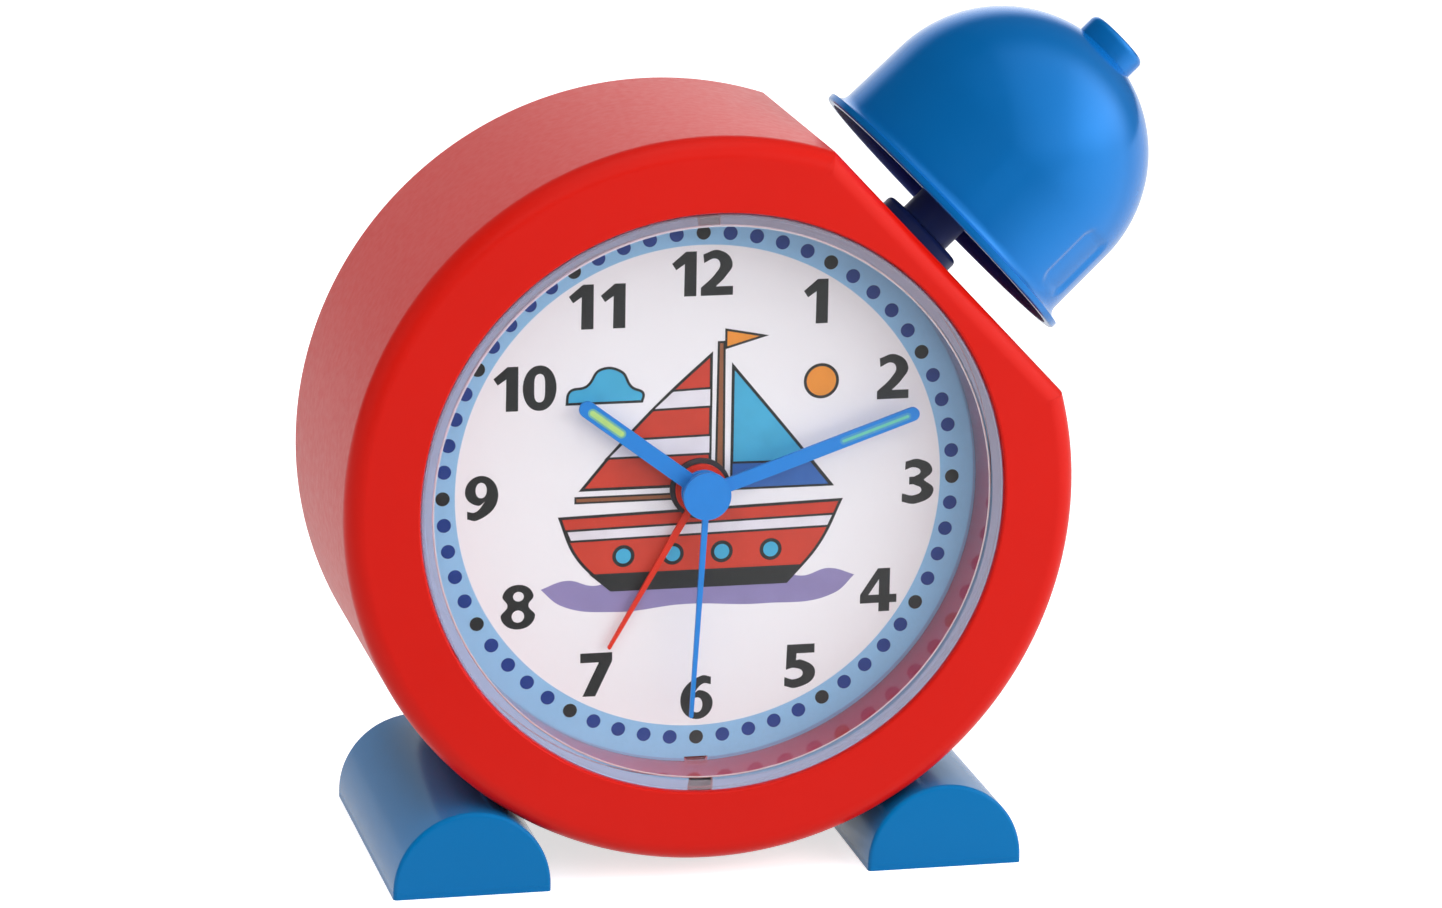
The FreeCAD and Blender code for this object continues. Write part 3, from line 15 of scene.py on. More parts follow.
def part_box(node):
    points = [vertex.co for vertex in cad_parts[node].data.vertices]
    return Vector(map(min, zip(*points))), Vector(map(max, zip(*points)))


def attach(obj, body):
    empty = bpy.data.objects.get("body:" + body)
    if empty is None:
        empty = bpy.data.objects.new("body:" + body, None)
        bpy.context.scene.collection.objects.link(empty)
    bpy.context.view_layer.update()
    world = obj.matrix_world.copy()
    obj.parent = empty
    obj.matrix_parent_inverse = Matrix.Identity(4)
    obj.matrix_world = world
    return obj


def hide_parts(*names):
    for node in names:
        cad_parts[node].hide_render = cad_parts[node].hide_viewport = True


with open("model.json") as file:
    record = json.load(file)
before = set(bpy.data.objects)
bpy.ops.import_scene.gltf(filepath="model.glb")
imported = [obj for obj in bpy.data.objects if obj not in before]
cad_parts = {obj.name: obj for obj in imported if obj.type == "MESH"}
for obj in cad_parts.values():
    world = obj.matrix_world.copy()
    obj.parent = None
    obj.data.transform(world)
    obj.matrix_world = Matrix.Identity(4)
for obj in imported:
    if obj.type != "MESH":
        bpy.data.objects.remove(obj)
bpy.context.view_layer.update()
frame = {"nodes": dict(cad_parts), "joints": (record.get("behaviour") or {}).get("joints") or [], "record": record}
BODY = {node: body for body, nodes in frame["record"]["behaviour"]["bodies"].items() for node in nodes}
SLOT = {part["node"]: part["material_slot"] for part in frame["record"]["subparts"]}

# %% [markdown]
# A clock is drawn around its axis, so the pieces are modelled in millimetres in a frame of their own: the
# drum's axis is x = 0, z = 0, the front face is y = 0, and y grows to the back. The bell has a second frame,
# whose Z is the bell's axis. Both are worked out from the hinge of the minute hand, the slide of the bell and
# the housing's box, so nothing here has to be fitted by eye.

# %% The clock's frame and the bell's frame
MM = 0.001
JOINTS = {joint["name"]: joint for joint in frame["joints"]}
AXIS = Vector(JOINTS["minute_spin"]["pos_m"])
AXIS.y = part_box("housing")[0].y
CLOCK = Matrix.Translation(AXIS) @ Matrix.Scale(MM, 4)
BELL_AXIS = Vector(JOINTS["bell_press"]["axis"])
TILT = math.atan2(-BELL_AXIS.x, -BELL_AXIS.z)
BELL_DEPTH = 24.25
TILTED = CLOCK @ Matrix.Rotation(TILT, 4, "Y")
BELL = TILTED @ Matrix.Translation((0, BELL_DEPTH, 0))
LATHE = CLOCK @ Matrix.Rotation(math.radians(-90), 4, "X")
print("bell leans", round(math.degrees(TILT), 2), "degrees")

# %% [markdown]
# Moulded plastic is never one flat colour. The melt leaves faint clouds, the skin has a very low orange peel,
# and its gloss changes a little from place to place. One image per piece could hold that, but noise on the
# object's own coordinates needs no unwrapping and has a real size in metres. Each finish is one small node
# tree: a slow noise for the colour, a finer one for the roughness and the relief.


# %% Helpers for finishes
def rgb(red, green, blue):
    """A colour as a screen shows it, turned into the linear values that a shader takes."""
    shares = [channel / 255 for channel in (red, green, blue)]
    linear = [((share + 0.055) / 1.055) ** 2.4 if share > 0.04 else share / 12.92 for share in shares]
    return (*linear, 1.0)


def noise(tree, size, detail=2.0):
    """Noise whose grains are about this many millimetres across."""
    coordinates = tree.nodes.new("ShaderNodeTexCoord")
    grain = tree.nodes.new("ShaderNodeTexNoise")
    grain.inputs["Scale"].default_value = 1 / (size * MM)
    grain.inputs["Detail"].default_value = detail
    tree.links.new(coordinates.outputs["Object"], grain.inputs["Vector"])
    return grain.outputs["Fac"]


def spread(tree, source, low, high):
    """The noise stretched between two values."""
    stretch = tree.nodes.new("ShaderNodeMapRange")
    stretch.inputs["From Min"].default_value = 0.3
    stretch.inputs["From Max"].default_value = 0.7
    stretch.inputs["To Min"].default_value = low
    stretch.inputs["To Max"].default_value = high
    tree.links.new(source, stretch.inputs["Value"])
    return stretch.outputs["Result"]


def clouded(tree, source, colour, amount):
    """A colour that the noise makes a little darker and a little lighter."""
    blend = tree.nodes.new("ShaderNodeMix")
    blend.data_type = "RGBA"
    sides = [[channel * share for channel in colour[:3]] + [1.0] for share in (1 - amount, 1 + amount)]
    blend.inputs["A"].default_value = sides[0]
    blend.inputs["B"].default_value = sides[1]
    tree.links.new(source, blend.inputs["Factor"])
    return blend.outputs["Result"]


def relief(tree, source, height):
    """A bump from the noise, whose full height is in millimetres."""
    bump = tree.nodes.new("ShaderNodeBump")
    bump.inputs["Strength"].default_value = 1.0
    bump.inputs["Distance"].default_value = height * MM
    tree.links.new(source, bump.inputs["Height"])
    return bump.outputs["Normal"]


FINISHES = {}


def finish(name, colour, rough, clouds=0.03, cloud_size=14.0, grain=1.2, height=0.002, swing=0.03, **fixed):
    """A procedural finish: clouded colour, uneven gloss and a low relief; fixed inputs go by name."""
    material = bpy.data.materials.new(name)
    material.use_nodes = True
    tree = material.node_tree
    shader = tree.nodes["Principled BSDF"]
    tree.links.new(clouded(tree, noise(tree, cloud_size), colour, clouds), shader.inputs["Base Color"])
    fine = noise(tree, grain)
    tree.links.new(spread(tree, fine, rough - swing, rough + swing), shader.inputs["Roughness"])
    tree.links.new(relief(tree, fine, height), shader.inputs["Normal"])
    for title, value in fixed.items():
        shader.inputs[title.replace("_", " ")].default_value = value
    FINISHES[name] = material
    return material


# %% [markdown]
# The photograph shows four plastics: the glossy red of the drum, the satin blue of the feet, the glossy blue
# of the bell and the dark navy of the plunger and its collar. Their gloss tells them apart as much as their
# colour does. The bell mirrors soft windows of light, while the drum and the feet only catch a wide sheen.

# %% Plastics of the case and the bell
finish("red_shell", rgb(199, 20, 8), 0.34, cloud_size=20.0, Specular_IOR_Level=0.17)
finish("blue_foot", rgb(2, 107, 168), 0.20, cloud_size=16.0, Specular_IOR_Level=0.13)
finish("rubber_sole", rgb(2, 106, 167), 0.30, cloud_size=9.0, grain=0.5, Specular_IOR_Level=0.13)
finish("blue_bell", rgb(7, 115, 194), 0.16, cloud_size=22.0, height=0.0012, swing=0.02, Metallic=0.4,
       Specular_IOR_Level=0.6, Specular_Tint=(0.78, 0.88, 1.0, 1.0))
# A darker, duller blue for the bell's hollow side: painted shade.
finish("painted_bell_shade", rgb(26, 56, 158), 0.55, cloud_size=9.0, grain=0.6, Specular_IOR_Level=0.1)
finish("navy_plastic", rgb(48, 70, 148), 0.36, cloud_size=8.0, Specular_IOR_Level=0.2)
finish("dark_rear", rgb(30, 44, 92), 0.45, grain=0.45, height=0.012, swing=0.05)
finish("switch_red", rgb(205, 34, 26), 0.35, cloud_size=4.0)
print("plastics", sorted(FINISHES))

# %% [markdown]
# The hands are thin metal strips in satin blue and red paint, with a strip of pale glow paint let into two of
# them. The glow paint gets a second, bluer finish for its soft border. The rounded edges of these two hands get
# a lighter blue, a painted highlight. The dial is a white printed card with a faint pearly grain, and its ring
# is light blue.
# Printing ink lies flat, so it gets a little less gloss than the card and a very fine speckle.

# %% Paints, card and inks
finish("blue_hand", rgb(36, 134, 220), 0.42, cloud_size=5.0, grain=0.6, Specular_IOR_Level=0.3)
finish("red_hand", rgb(228, 52, 28), 0.42, cloud_size=5.0, grain=0.6, Specular_IOR_Level=0.3)
for name, colour in (("glow_paint", (182, 222, 130)), ("glow_haze", (112, 184, 172)),
                     ("pale_glow", (110, 204, 178)), ("pale_haze", (74, 156, 206))):
    finish(name, rgb(*colour), 0.62, clouds=0.08, cloud_size=1.2, grain=0.25, height=0.006)
# A lighter blue for the bevelled edges of the hands: a painted highlight.
finish("painted_edge_highlight", rgb(104, 184, 242), 0.36, cloud_size=5.0, grain=0.6, Specular_IOR_Level=0.3)
finish("printed_dial", rgb(249, 247, 250), 0.46, clouds=0.015, cloud_size=0.5, grain=0.35, height=0.003)
finish("ring_ink", rgb(152, 202, 240), 0.44, clouds=0.05, cloud_size=0.45, grain=0.35, height=0.003)
finish("dot_ink", rgb(26, 58, 136), 0.5, clouds=0.08, cloud_size=0.4, grain=0.3)
finish("charcoal_ink", rgb(36, 38, 38), 0.5, clouds=0.10, cloud_size=0.5, grain=0.3)
for name, colour in (("hull_red", (206, 62, 42)), ("sail_white", (236, 232, 240)),
                     ("sea_lavender", (146, 136, 184)), ("jib_cyan", (70, 176, 216)),
                     ("deep_blue", (52, 104, 178)), ("pennant_orange", (240, 150, 52)),
                     ("mast_brown", (150, 92, 58))):
    finish(name, rgb(*colour), 0.5, clouds=0.14, cloud_size=4.0, grain=0.3)
print("inks and paints", len(FINISHES))

# %% [markdown]
# Inside the case are a quartz movement, a sound unit and two dry cells. Little of them shows, and only with
# the battery cover off, but each material still looks like what it is: brushed steel, bright contacts,
# varnished copper and board, matt acetal wheels and a metallic film round the cells.

# %% Finishes inside the case
finish("movement_case", rgb(46, 46, 50), 0.55, grain=0.4, height=0.01)
finish("gear_white", rgb(233, 230, 220), 0.5, cloud_size=3.0, grain=0.5)
finish("gear_amber", rgb(226, 182, 112), 0.5, cloud_size=3.0, grain=0.5)
finish("steel", rgb(190, 190, 194), 0.36, cloud_size=2.0, grain=0.3, swing=0.08, Metallic=1.0)
finish("spring_steel", rgb(214, 214, 220), 0.24, cloud_size=1.5, grain=0.2, swing=0.06, Metallic=1.0)
finish("magnet", rgb(80, 80, 84), 0.42, cloud_size=2.0, grain=0.3, Metallic=1.0)
finish("copper_winding", rgb(196, 120, 82), 0.3, clouds=0.12, cloud_size=0.5, grain=0.25, height=0.02,
       Metallic=1.0)
finish("circuit_board", rgb(36, 118, 66), 0.32, clouds=0.12, cloud_size=2.0, grain=0.4)
finish("bright_contact", rgb(222, 221, 216), 0.22, cloud_size=2.0, grain=0.3, swing=0.07, Metallic=1.0)
finish("cell_jacket", rgb(122, 126, 134), 0.3, clouds=0.06, cloud_size=5.0, grain=0.5, Metallic=0.6)
finish("paper_cone", rgb(44, 44, 46), 0.85, clouds=0.15, cloud_size=0.8, grain=0.3, height=0.03)
print("finishes in all", len(FINISHES))

# %% [markdown]
# The window is a clear moulded cup. A Principled shader with full transmission bends light as acrylic does,
# which gives the rim its depth. Rays from the lamps would be stopped by it, so a plain Transparent shader
# takes over for shadow rays and the dial stays evenly lit. The pane is clear. The wall behind it is tinted
# pink, a painted reflection of the red around it. Light gathers in the outer edge and the inner corner, so
# these are made milky and pale, a painted highlight.

# %% Clear window
ACRYLIC_IOR = 1.49


def acrylic(name, colour, rough, clear_share):
    """Clear plastic that bends light; a clear share below 1 leaves the rest milky."""
    material = finish(name, colour, rough, clouds=0.004, grain=9.0, height=0.0004, swing=0.01,
                      Transmission_Weight=clear_share, IOR=ACRYLIC_IOR)
    tree = material.node_tree
    path = tree.nodes.new("ShaderNodeLightPath")
    clear = tree.nodes.new("ShaderNodeBsdfTransparent")
    clear.inputs["Color"].default_value = (0.99, 0.992, 0.996, 1.0)
    either = tree.nodes.new("ShaderNodeMixShader")
    tree.links.new(path.outputs["Is Shadow Ray"], either.inputs["Fac"])
    tree.links.new(tree.nodes["Principled BSDF"].outputs["BSDF"], either.inputs[1])
    tree.links.new(clear.outputs["BSDF"], either.inputs[2])
    tree.links.new(either.outputs["Shader"], tree.nodes["Material Output"].inputs["Surface"])


# The pink wall is a painted reflection of the red drum; the milky rim and the pale corner are painted highlights.
for name, colour, rough, clear_share in (("clear_window", rgb(254, 254, 255), 0.02, 1.0),
                                         ("pink_wall_reflection", rgb(250, 192, 210), 0.06, 1.0),
                                         ("pale_rim_highlight", rgb(240, 224, 238), 0.10, 0.80),
                                         ("corner_highlight", rgb(255, 250, 250), 0.10, 0.4)):
    acrylic(name, colour, rough, clear_share)
    print(name, clear_share)

# %% [markdown]
# Every node of the model first gets the finish of its slot. Pieces that are remade later take the place of
# their node, so this costs nothing, and nothing can be left in a plain colour. The end of the alarm wheel's
# pipe shows between the hands, so that wheel is moulded in the alarm hand's red.

# %% Dress the model's own nodes
for node, part in frame["nodes"].items():
    for material_slot in part.material_slots:
        material_slot.material = FINISHES["red_hand" if node == "alarm_wheel" else SLOT[node]]
print("dressed", len(frame["nodes"]), "nodes")

# %% [markdown]
# A new piece goes through the same last steps each time: it is put in place, shaded smooth with its real
# edges kept sharp, and hung on the body of the node that it belongs to. Beside a rounded edge, plain smooth
# shading would bend the flat faces too. So normals are weighted by face area, and faces of five corners or
# more, which can only be flat ones, are left out of the smoothing.


# %% Helpers that seat a piece
SHARP_ANGLE = 32.0
BEVEL_ANGLE = 40.0
FLAT_CORNERS = 5


def added(name, data):
    """A new object with this data, in the scene."""
    thing = bpy.data.objects.new(name, data)
    bpy.context.scene.collection.objects.link(thing)
    return thing


def seat(bm, name, node, place, ink=None, replaces=True, soft_edge=0.0, highlight_ink=None, more=()):
    """Finish a bmesh as a named piece of a node; more pairs further finishes with a test for their faces."""
    mesh = bpy.data.meshes.new(name)
    bm.to_mesh(mesh)
    bm.free()
    mesh.materials.clear()
    mesh.materials.append(FINISHES[ink or SLOT[node]])
    for number, (title, belongs) in enumerate(more, 1):
        mesh.materials.append(FINISHES[title])
        for face in mesh.polygons:
            if belongs(face, math.hypot(face.center.x, face.center.y)):
                face.material_index = number
    mesh.transform(place)
    mesh.shade_smooth()
    mesh.set_sharp_from_angle(angle=math.radians(SHARP_ANGLE))
    piece = added(name, mesh)
    if soft_edge:
        eased = piece.modifiers.new("Eased edges", "BEVEL")
        eased.width = soft_edge * MM
        eased.segments = 2
        eased.limit_method = "ANGLE"
        eased.angle_limit = math.radians(BEVEL_ANGLE)
        eased.harden_normals = True
        # The bevel's faces may take a lighter finish: a painted highlight along the edges.
        if highlight_ink:
            mesh.materials.append(FINISHES[highlight_ink])
            eased.material = len(mesh.materials) - 1
    else:
        for face in mesh.polygons:
            face.use_smooth = len(face.vertices) < FLAT_CORNERS
        weighted = piece.modifiers.new("Weighted normals", "WEIGHTED_NORMAL")
        weighted.keep_sharp = True
    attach(piece, BODY[node])
    if replaces:
        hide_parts(node)
    print(name, len(mesh.polygons), "faces")
    return piece


def carved(bm, cutter, operation="DIFFERENCE"):
    """The solid after a Boolean with a second solid, applied at once."""
    holders = []
    for title, solid in (("stock", bm), ("tool", cutter)):
        mesh = bpy.data.meshes.new(title)
        solid.to_mesh(mesh)
        solid.free()
        holders.append(added(title, mesh))
    step = holders[0].modifiers.new("Boolean", "BOOLEAN")
    step.operation = operation
    step.solver = "EXACT"
    step.object = holders[1]
    result = bmesh.new()
    result.from_object(holders[0], bpy.context.evaluated_depsgraph_get())
    for holder in holders:
        bpy.data.meshes.remove(holder.data)
    return result


# %% [markdown]
# Turned forms, such as the bell, are one profile spun round an axis. Only the profile's corners are written
# down, and its round stretches are arcs through three points.


# %% Helpers for profiles
WELD = 1e-4


def bow(start, middle, end, steps):
    """Points of the arc from start through middle to end, without the first one."""
    (ax, ay), (bx, by), (cx, cy) = start, middle, end
    twice = 2 * (ax * (by - cy) + bx * (cy - ay) + cx * (ay - by))
    a2, b2, c2 = ax * ax + ay * ay, bx * bx + by * by, cx * cx + cy * cy
    ox = (a2 * (by - cy) + b2 * (cy - ay) + c2 * (ay - by)) / twice
    oy = (a2 * (cx - bx) + b2 * (ax - cx) + c2 * (bx - ax)) / twice
    radius = math.hypot(ax - ox, ay - oy)
    first = math.atan2(ay - oy, ax - ox)
    half = (math.atan2(by - oy, bx - ox) - first + math.pi) % (2 * math.pi) - math.pi
    sweep = (math.atan2(cy - oy, cx - ox) - first) % (2 * math.pi)
    if half < 0:
        sweep -= 2 * math.pi
    turns = [first + sweep * step / steps for step in range(1, steps + 1)]
    return [(ox + radius * math.cos(turn), oy + radius * math.sin(turn)) for turn in turns]


def quarter(corner, start, end, steps=6):
    """Points of a rounded corner that runs from start to end round the given centre."""
    x, y = corner
    middle_x, middle_y = (start[0] + end[0]) / 2 - x, (start[1] + end[1]) / 2 - y
    stretch = math.hypot(start[0] - x, start[1] - y) / math.hypot(middle_x, middle_y)
    return bow(start, (x + middle_x * stretch, y + middle_y * stretch), end, steps)


def spun(points, steps=240, closed=False):
    """A solid of revolution about Z from (radius, height) points."""
    bm = bmesh.new()
    verts = [bm.verts.new((radius, 0, height)) for radius, height in points]
    pairs = list(zip(verts, verts[1:]))
    if closed:
        pairs.append((verts[-1], verts[0]))
    edges = [bm.edges.new(pair) for pair in pairs]
    bmesh.ops.spin(bm, geom=verts + edges, cent=(0, 0, 0), axis=(0, 0, 1), angle=2 * math.pi,
                   steps=steps, use_merge=True)
    bmesh.ops.remove_doubles(bm, verts=bm.verts, dist=WELD)
    bmesh.ops.recalc_face_normals(bm, faces=bm.faces)
    return bm


# %% [markdown]
# The drum is one moulding: a round wall with a flat for the bell, a broad front ring with a soft rim, and a
# sunk floor that carries the dial. It could be carved out of a block, but a Boolean leaves long slivers that
# spoil a glossy rim. So a D-shaped face is cut from a circle, pulled back into a prism and beveled, and every
# inner wall is grown from the edge of the one before.

# %% Sizes of the drum
DRUM_RADIUS = 55.0
DRUM_DEPTH = 48.0
FLAT_HEIGHT = 48.55
FLAT_CORNER = 3.5
FRONT_RIM = 3.0
BACK_RIM = 1.0
OPENING = 44.0
OPENING_EDGE = 0.4
FLOOR_FRONT = 12.4
FLOOR_BACK = 14.0
TUNNEL_OUTSIDE = 45.6
FRONT_WALL = 2.4
INNER_D = (52.6, 46.35)
REBATE_D = (53.4, 47.15)
REBATE_FRONT = 45.6
HUB_HOLE = 5.0
ROUND_STEPS = 256
SMALL_STEPS = 96
UPRIGHT = Matrix.Rotation(math.radians(90), 4, "X")


# %% Helpers for the drum
def at_depth(items, depth):
    """The faces or edges that lie flat at this depth."""
    return [item for item in items if all(abs(vert.co.y - depth) < 1e-3 for vert in item.verts)]


def rounded(bm, items, size, steps, affect="VERTICES"):
    """Round corners or edges off by a bevel of this size."""
    bmesh.ops.bevel(bm, geom=items, offset=size, affect=affect, segments=steps, profile=0.5, material=-1)


def rod(bm, radius, length, matrix, steps=SMALL_STEPS):
    """Add a closed round rod, which lies along Z before the matrix turns it."""
    bmesh.ops.create_cone(bm, cap_ends=True, segments=steps, radius1=radius, radius2=radius, depth=length,
                          matrix=matrix)


def d_face(bm, radius, flat, depth, corner=0.0):
    """A round face cut straight at its top, with rounded corners."""
    lying = Matrix.Translation((0, depth, 0)) @ UPRIGHT
    made = bmesh.ops.create_circle(bm, cap_ends=True, radius=radius, segments=ROUND_STEPS, matrix=lying)
    face = made["verts"][0].link_faces[0]
    sheet = list(face.verts) + list(face.edges) + [face]
    cut = bmesh.ops.bisect_plane(bm, geom=sheet, plane_co=(0, 0, flat), plane_no=(0, 0, 1), clear_outer=True)
    if corner:
        reach = corner * math.tan(math.acos(flat / radius) / 2)
        corners = [item for item in cut["geom_cut"] if isinstance(item, bmesh.types.BMVert)]
        rounded(bm, corners, reach, 8)
    return max(at_depth(bm.faces, depth), key=lambda item: len(item.verts))


def extruded(bm, faces, vec):
    """Extrude faces, move the new ones by a vector and return their vertices."""
    made = bmesh.ops.extrude_face_region(bm, geom=faces)["geom"]
    moved = [item for item in made if isinstance(item, bmesh.types.BMVert)]
    bmesh.ops.translate(bm, verts=moved, vec=vec)
    return moved


def open_rim(bm, face):
    """Delete a face and return the edges of the hole that it leaves."""
    rim = list(face.edges)
    bmesh.ops.delete(bm, geom=[face], context="FACES_ONLY")
    return rim


def pulled(bm, rim, place):
    """Extrude a rim of edges and move its new vertices by a rule."""
    made = bmesh.ops.extrude_edge_only(bm, edges=rim)["geom"]
    for vert in [item for item in made if isinstance(item, bmesh.types.BMVert)]:
        vert.co = place(vert.co)
    return [item for item in made if isinstance(item, bmesh.types.BMEdge) and item.is_boundary]


def round_at(radius, depth):
    """A rule that moves a vertex to this radius and depth and keeps its bearing."""
    return lambda co: Vector((co.x, 0, co.z)).normalized() * radius + Vector((0, depth, 0))


def straight_to(depth):
    """A rule that moves a vertex straight back to this depth."""
    return lambda co: Vector((co.x, depth, co.z))


# %% Drum: outer skin
drum = bmesh.new()
front = d_face(drum, DRUM_RADIUS, FLAT_HEIGHT, 0.0, FLAT_CORNER)
extruded(drum, [front], (0, DRUM_DEPTH, 0))
for depth, size, steps in ((0.0, FRONT_RIM, 10), (DRUM_DEPTH, BACK_RIM, 5)):
    rounded(drum, at_depth(drum.edges, depth), size, steps, "EDGES")
print("drum skin", len(drum.faces), "faces")

# %% Drum: opening, sunk floor and inner walls
front_rim = open_rim(drum, max(at_depth(drum.faces, 0.0), key=lambda face: face.calc_area()))
back_rim = open_rim(drum, max(at_depth(drum.faces, DRUM_DEPTH), key=lambda face: face.calc_area()))
hole = bmesh.ops.create_circle(drum, radius=OPENING + OPENING_EDGE, segments=ROUND_STEPS, matrix=UPRIGHT)
loop = list({edge for vert in hole["verts"] for edge in vert.link_edges})
bmesh.ops.triangle_fill(drum, use_beauty=True, edges=front_rim + loop)
steps = [(OPENING + OPENING_EDGE * (1 - math.sin(turn)), OPENING_EDGE * (1 - math.cos(turn)))
         for turn in map(math.radians, (15, 30, 50, 70, 90))]
steps += [(OPENING, FLOOR_FRONT), (HUB_HOLE, FLOOR_FRONT), (HUB_HOLE, FLOOR_BACK)]
steps += [(TUNNEL_OUTSIDE, FLOOR_BACK), (TUNNEL_OUTSIDE, FRONT_WALL)]
for radius, depth in steps:
    loop = pulled(drum, loop, round_at(radius, depth))
inner = open_rim(drum, d_face(drum, *INNER_D, FRONT_WALL))
bmesh.ops.triangle_fill(drum, use_beauty=True, edges=loop + inner)
inner = pulled(drum, inner, straight_to(REBATE_FRONT))
rebate = open_rim(drum, d_face(drum, *REBATE_D, REBATE_FRONT))
bmesh.ops.triangle_fill(drum, use_beauty=True, edges=inner + rebate)
rebate = pulled(drum, rebate, straight_to(DRUM_DEPTH))
bmesh.ops.triangle_fill(drum, use_beauty=True, edges=rebate + back_rim)
bmesh.ops.recalc_face_normals(drum, faces=drum.faces)
print("drum open edges", sum(not edge.is_manifold for edge in drum.edges))

# %% [markdown]
# Two small slots in the floor take the window's hooks, and a round hole in the flat takes the collar of the
# plunger. They are cut last, by one Boolean, because they lie in flat faces where slivers can't be seen.

# %% Drum: holes
COLLAR_HOLE, HOLE_LENGTH = 5.65, 20
SLOT_WIDTH, SLOT_LENGTH = 3.6, 6.0
SLOT_RADII = (42.1, 43.9)
cutter = bmesh.new()
rod(cutter, COLLAR_HOLE, HOLE_LENGTH, Matrix.Translation((0, BELL_DEPTH, FLAT_HEIGHT)))
for bearing in (0, math.pi):
    middle = Matrix.Translation((0, FLOOR_FRONT, sum(SLOT_RADII) / 2))
    size = Matrix.Diagonal((SLOT_WIDTH, SLOT_LENGTH, SLOT_RADII[1] - SLOT_RADII[0], 1.0))
    bmesh.ops.create_cube(cutter, size=1.0, matrix=Matrix.Rotation(bearing - TILT, 4, "Y") @ middle @ size)
drum = carved(drum, cutter)
seat(drum, "drum_shell", "housing", TILTED)

# %% [markdown]
# Pieces that the model already shapes well only need smooth shading. Their nodes are loose triangles, which
# would show as facets in a glossy surface. A merged copy takes the place of the node, so that the node itself
# stays as it was packed. Slender triangles in a flat face would still bend its shading into dark streaks, so
# triangles that lie in one plane are dissolved into one face.


# %% Helper for copies of nodes
SAME_PLACE = 1e-6
SAME_PLANE = math.radians(0.2)


def merged(node):
    """A bmesh of a node with its triangles joined and its flat faces whole, in metres."""
    bm = bmesh.new()
    bm.from_mesh(frame["nodes"][node].data)
    bmesh.ops.remove_doubles(bm, verts=bm.verts, dist=SAME_PLACE)
    bmesh.ops.dissolve_limit(bm, angle_limit=SAME_PLANE, verts=bm.verts, edges=bm.edges)
    return bm


for node in ("left_sole", "right_sole", "bell_stem", "back_cover", "battery_cover", "time_knob",
             "alarm_knob", "alarm_switch", "upper_cell", "lower_cell"):
    seat(merged(node), node + "_smooth", node, Matrix.Identity(4))

# %% [markdown]
# A foot carries a narrow rib on top, which seats it on the drum. On the real clock the gap between foot and
# drum looks dark from the front, so the rib must end well behind the foot's face. It could be cut shorter
# with a Boolean. Its front end is flat, so it is enough to slide the corners of that end to the back.

# %% Feet
RIB_FRONT, RIB_SHIFT = 4.0, 12.0
for node in ("left_foot", "right_foot"):
    foot = merged(node)
    rib_end = [vert for vert in foot.verts if abs(vert.co.y - AXIS.y - RIB_FRONT * MM) < SAME_PLACE]
    bmesh.ops.translate(foot, verts=rib_end, vec=(0, RIB_SHIFT * MM, 0))
    print("rib corners", len(rib_end))
    seat(foot, node + "_smooth", node, Matrix.Identity(4))

# %% [markdown]
# The bell is a thin shell with a flared lip and an egg-shaped crown. Its outline is a few corners, three arcs
# and two quarter ellipses. One side carries a shallow oblong recess. A Boolean would give it hard edges, and
# the real one is softly sunk, so the shell is spun finer there and its vertices are pressed in.

# %% Sizes of the bell
RIM, LIP_TOP, WALL_FOOT, CROWN_FOOT, SEAT_HEIGHT = 54.3, 55.4, 57.0, 67.5, 88.9
LIP_RADIUS, MOUTH_RADIUS, WALL_RADIUS, CROWN_RADIUS = 24.15, 22.75, 22.25, 22.1
CROWN_HEIGHT = 22.05
LIP_ROUND = 0.45
SHELL = 1.6
BOSS_RADIUS, BOSS_FOOT = 5.6, 85.2
TENON_HOLE = 2.55
RECESS_BEARING = math.radians(-48)
RECESS_MIDDLE, RECESS_HALF_LENGTH, RECESS_HALF_WIDTH = 63.3, 6.0, 4.6
RECESS_CORNER = 2.5
RECESS_DEPTH = 0.5
RECESS_SLOPE = 1.7
WALL_TOP = 70.0
WALL_ROWS = 54


# %% Profile of the bell
def crown(inset, last_radius, steps):
    """Points up the crown from its foot to this radius, moved inwards by the inset."""
    radius, height = CROWN_RADIUS - inset, CROWN_HEIGHT - inset
    last = math.acos(last_radius / radius)
    return [(radius * math.cos(last * step / steps), CROWN_FOOT + height * math.sin(last * step / steps))
            for step in range(steps + 1)]


inner_wall = WALL_RADIUS - SHELL
seat_radius = CROWN_RADIUS * math.sqrt(1 - ((SEAT_HEIGHT - CROWN_FOOT) / CROWN_HEIGHT) ** 2)
lip_foot = (LIP_RADIUS, RIM + LIP_ROUND)
lip_edge = (LIP_RADIUS - LIP_ROUND, RIM)
mouth_bend = (inner_wall + 0.6, RIM + 1.2)
flare_bend = (WALL_RADIUS + 0.45, LIP_TOP + 0.5)
outline = [(TENON_HOLE, BOSS_FOOT), (BOSS_RADIUS, BOSS_FOOT)]
outline += crown(SHELL, BOSS_RADIUS, 24)[::-1]
outline += [(inner_wall, WALL_FOOT)]
outline += bow((inner_wall, WALL_FOOT), mouth_bend, (MOUTH_RADIUS, RIM), 8)
outline += [lip_edge]
outline += quarter((LIP_RADIUS - LIP_ROUND, RIM + LIP_ROUND), lip_edge, lip_foot, 5)
outline += [(LIP_RADIUS, LIP_TOP)]
outline += bow((LIP_RADIUS, LIP_TOP), flare_bend, (WALL_RADIUS, WALL_FOOT), 10)
narrowing, rise = CROWN_RADIUS - WALL_RADIUS, CROWN_FOOT - WALL_FOOT
outline += [(WALL_RADIUS + narrowing * row / WALL_ROWS, WALL_FOOT + rise * row / WALL_ROWS)
            for row in range(1, WALL_ROWS)]
outline += crown(0, seat_radius, 64)
outline += [(TENON_HOLE, SEAT_HEIGHT)]
print("bell profile", len(outline), "points")

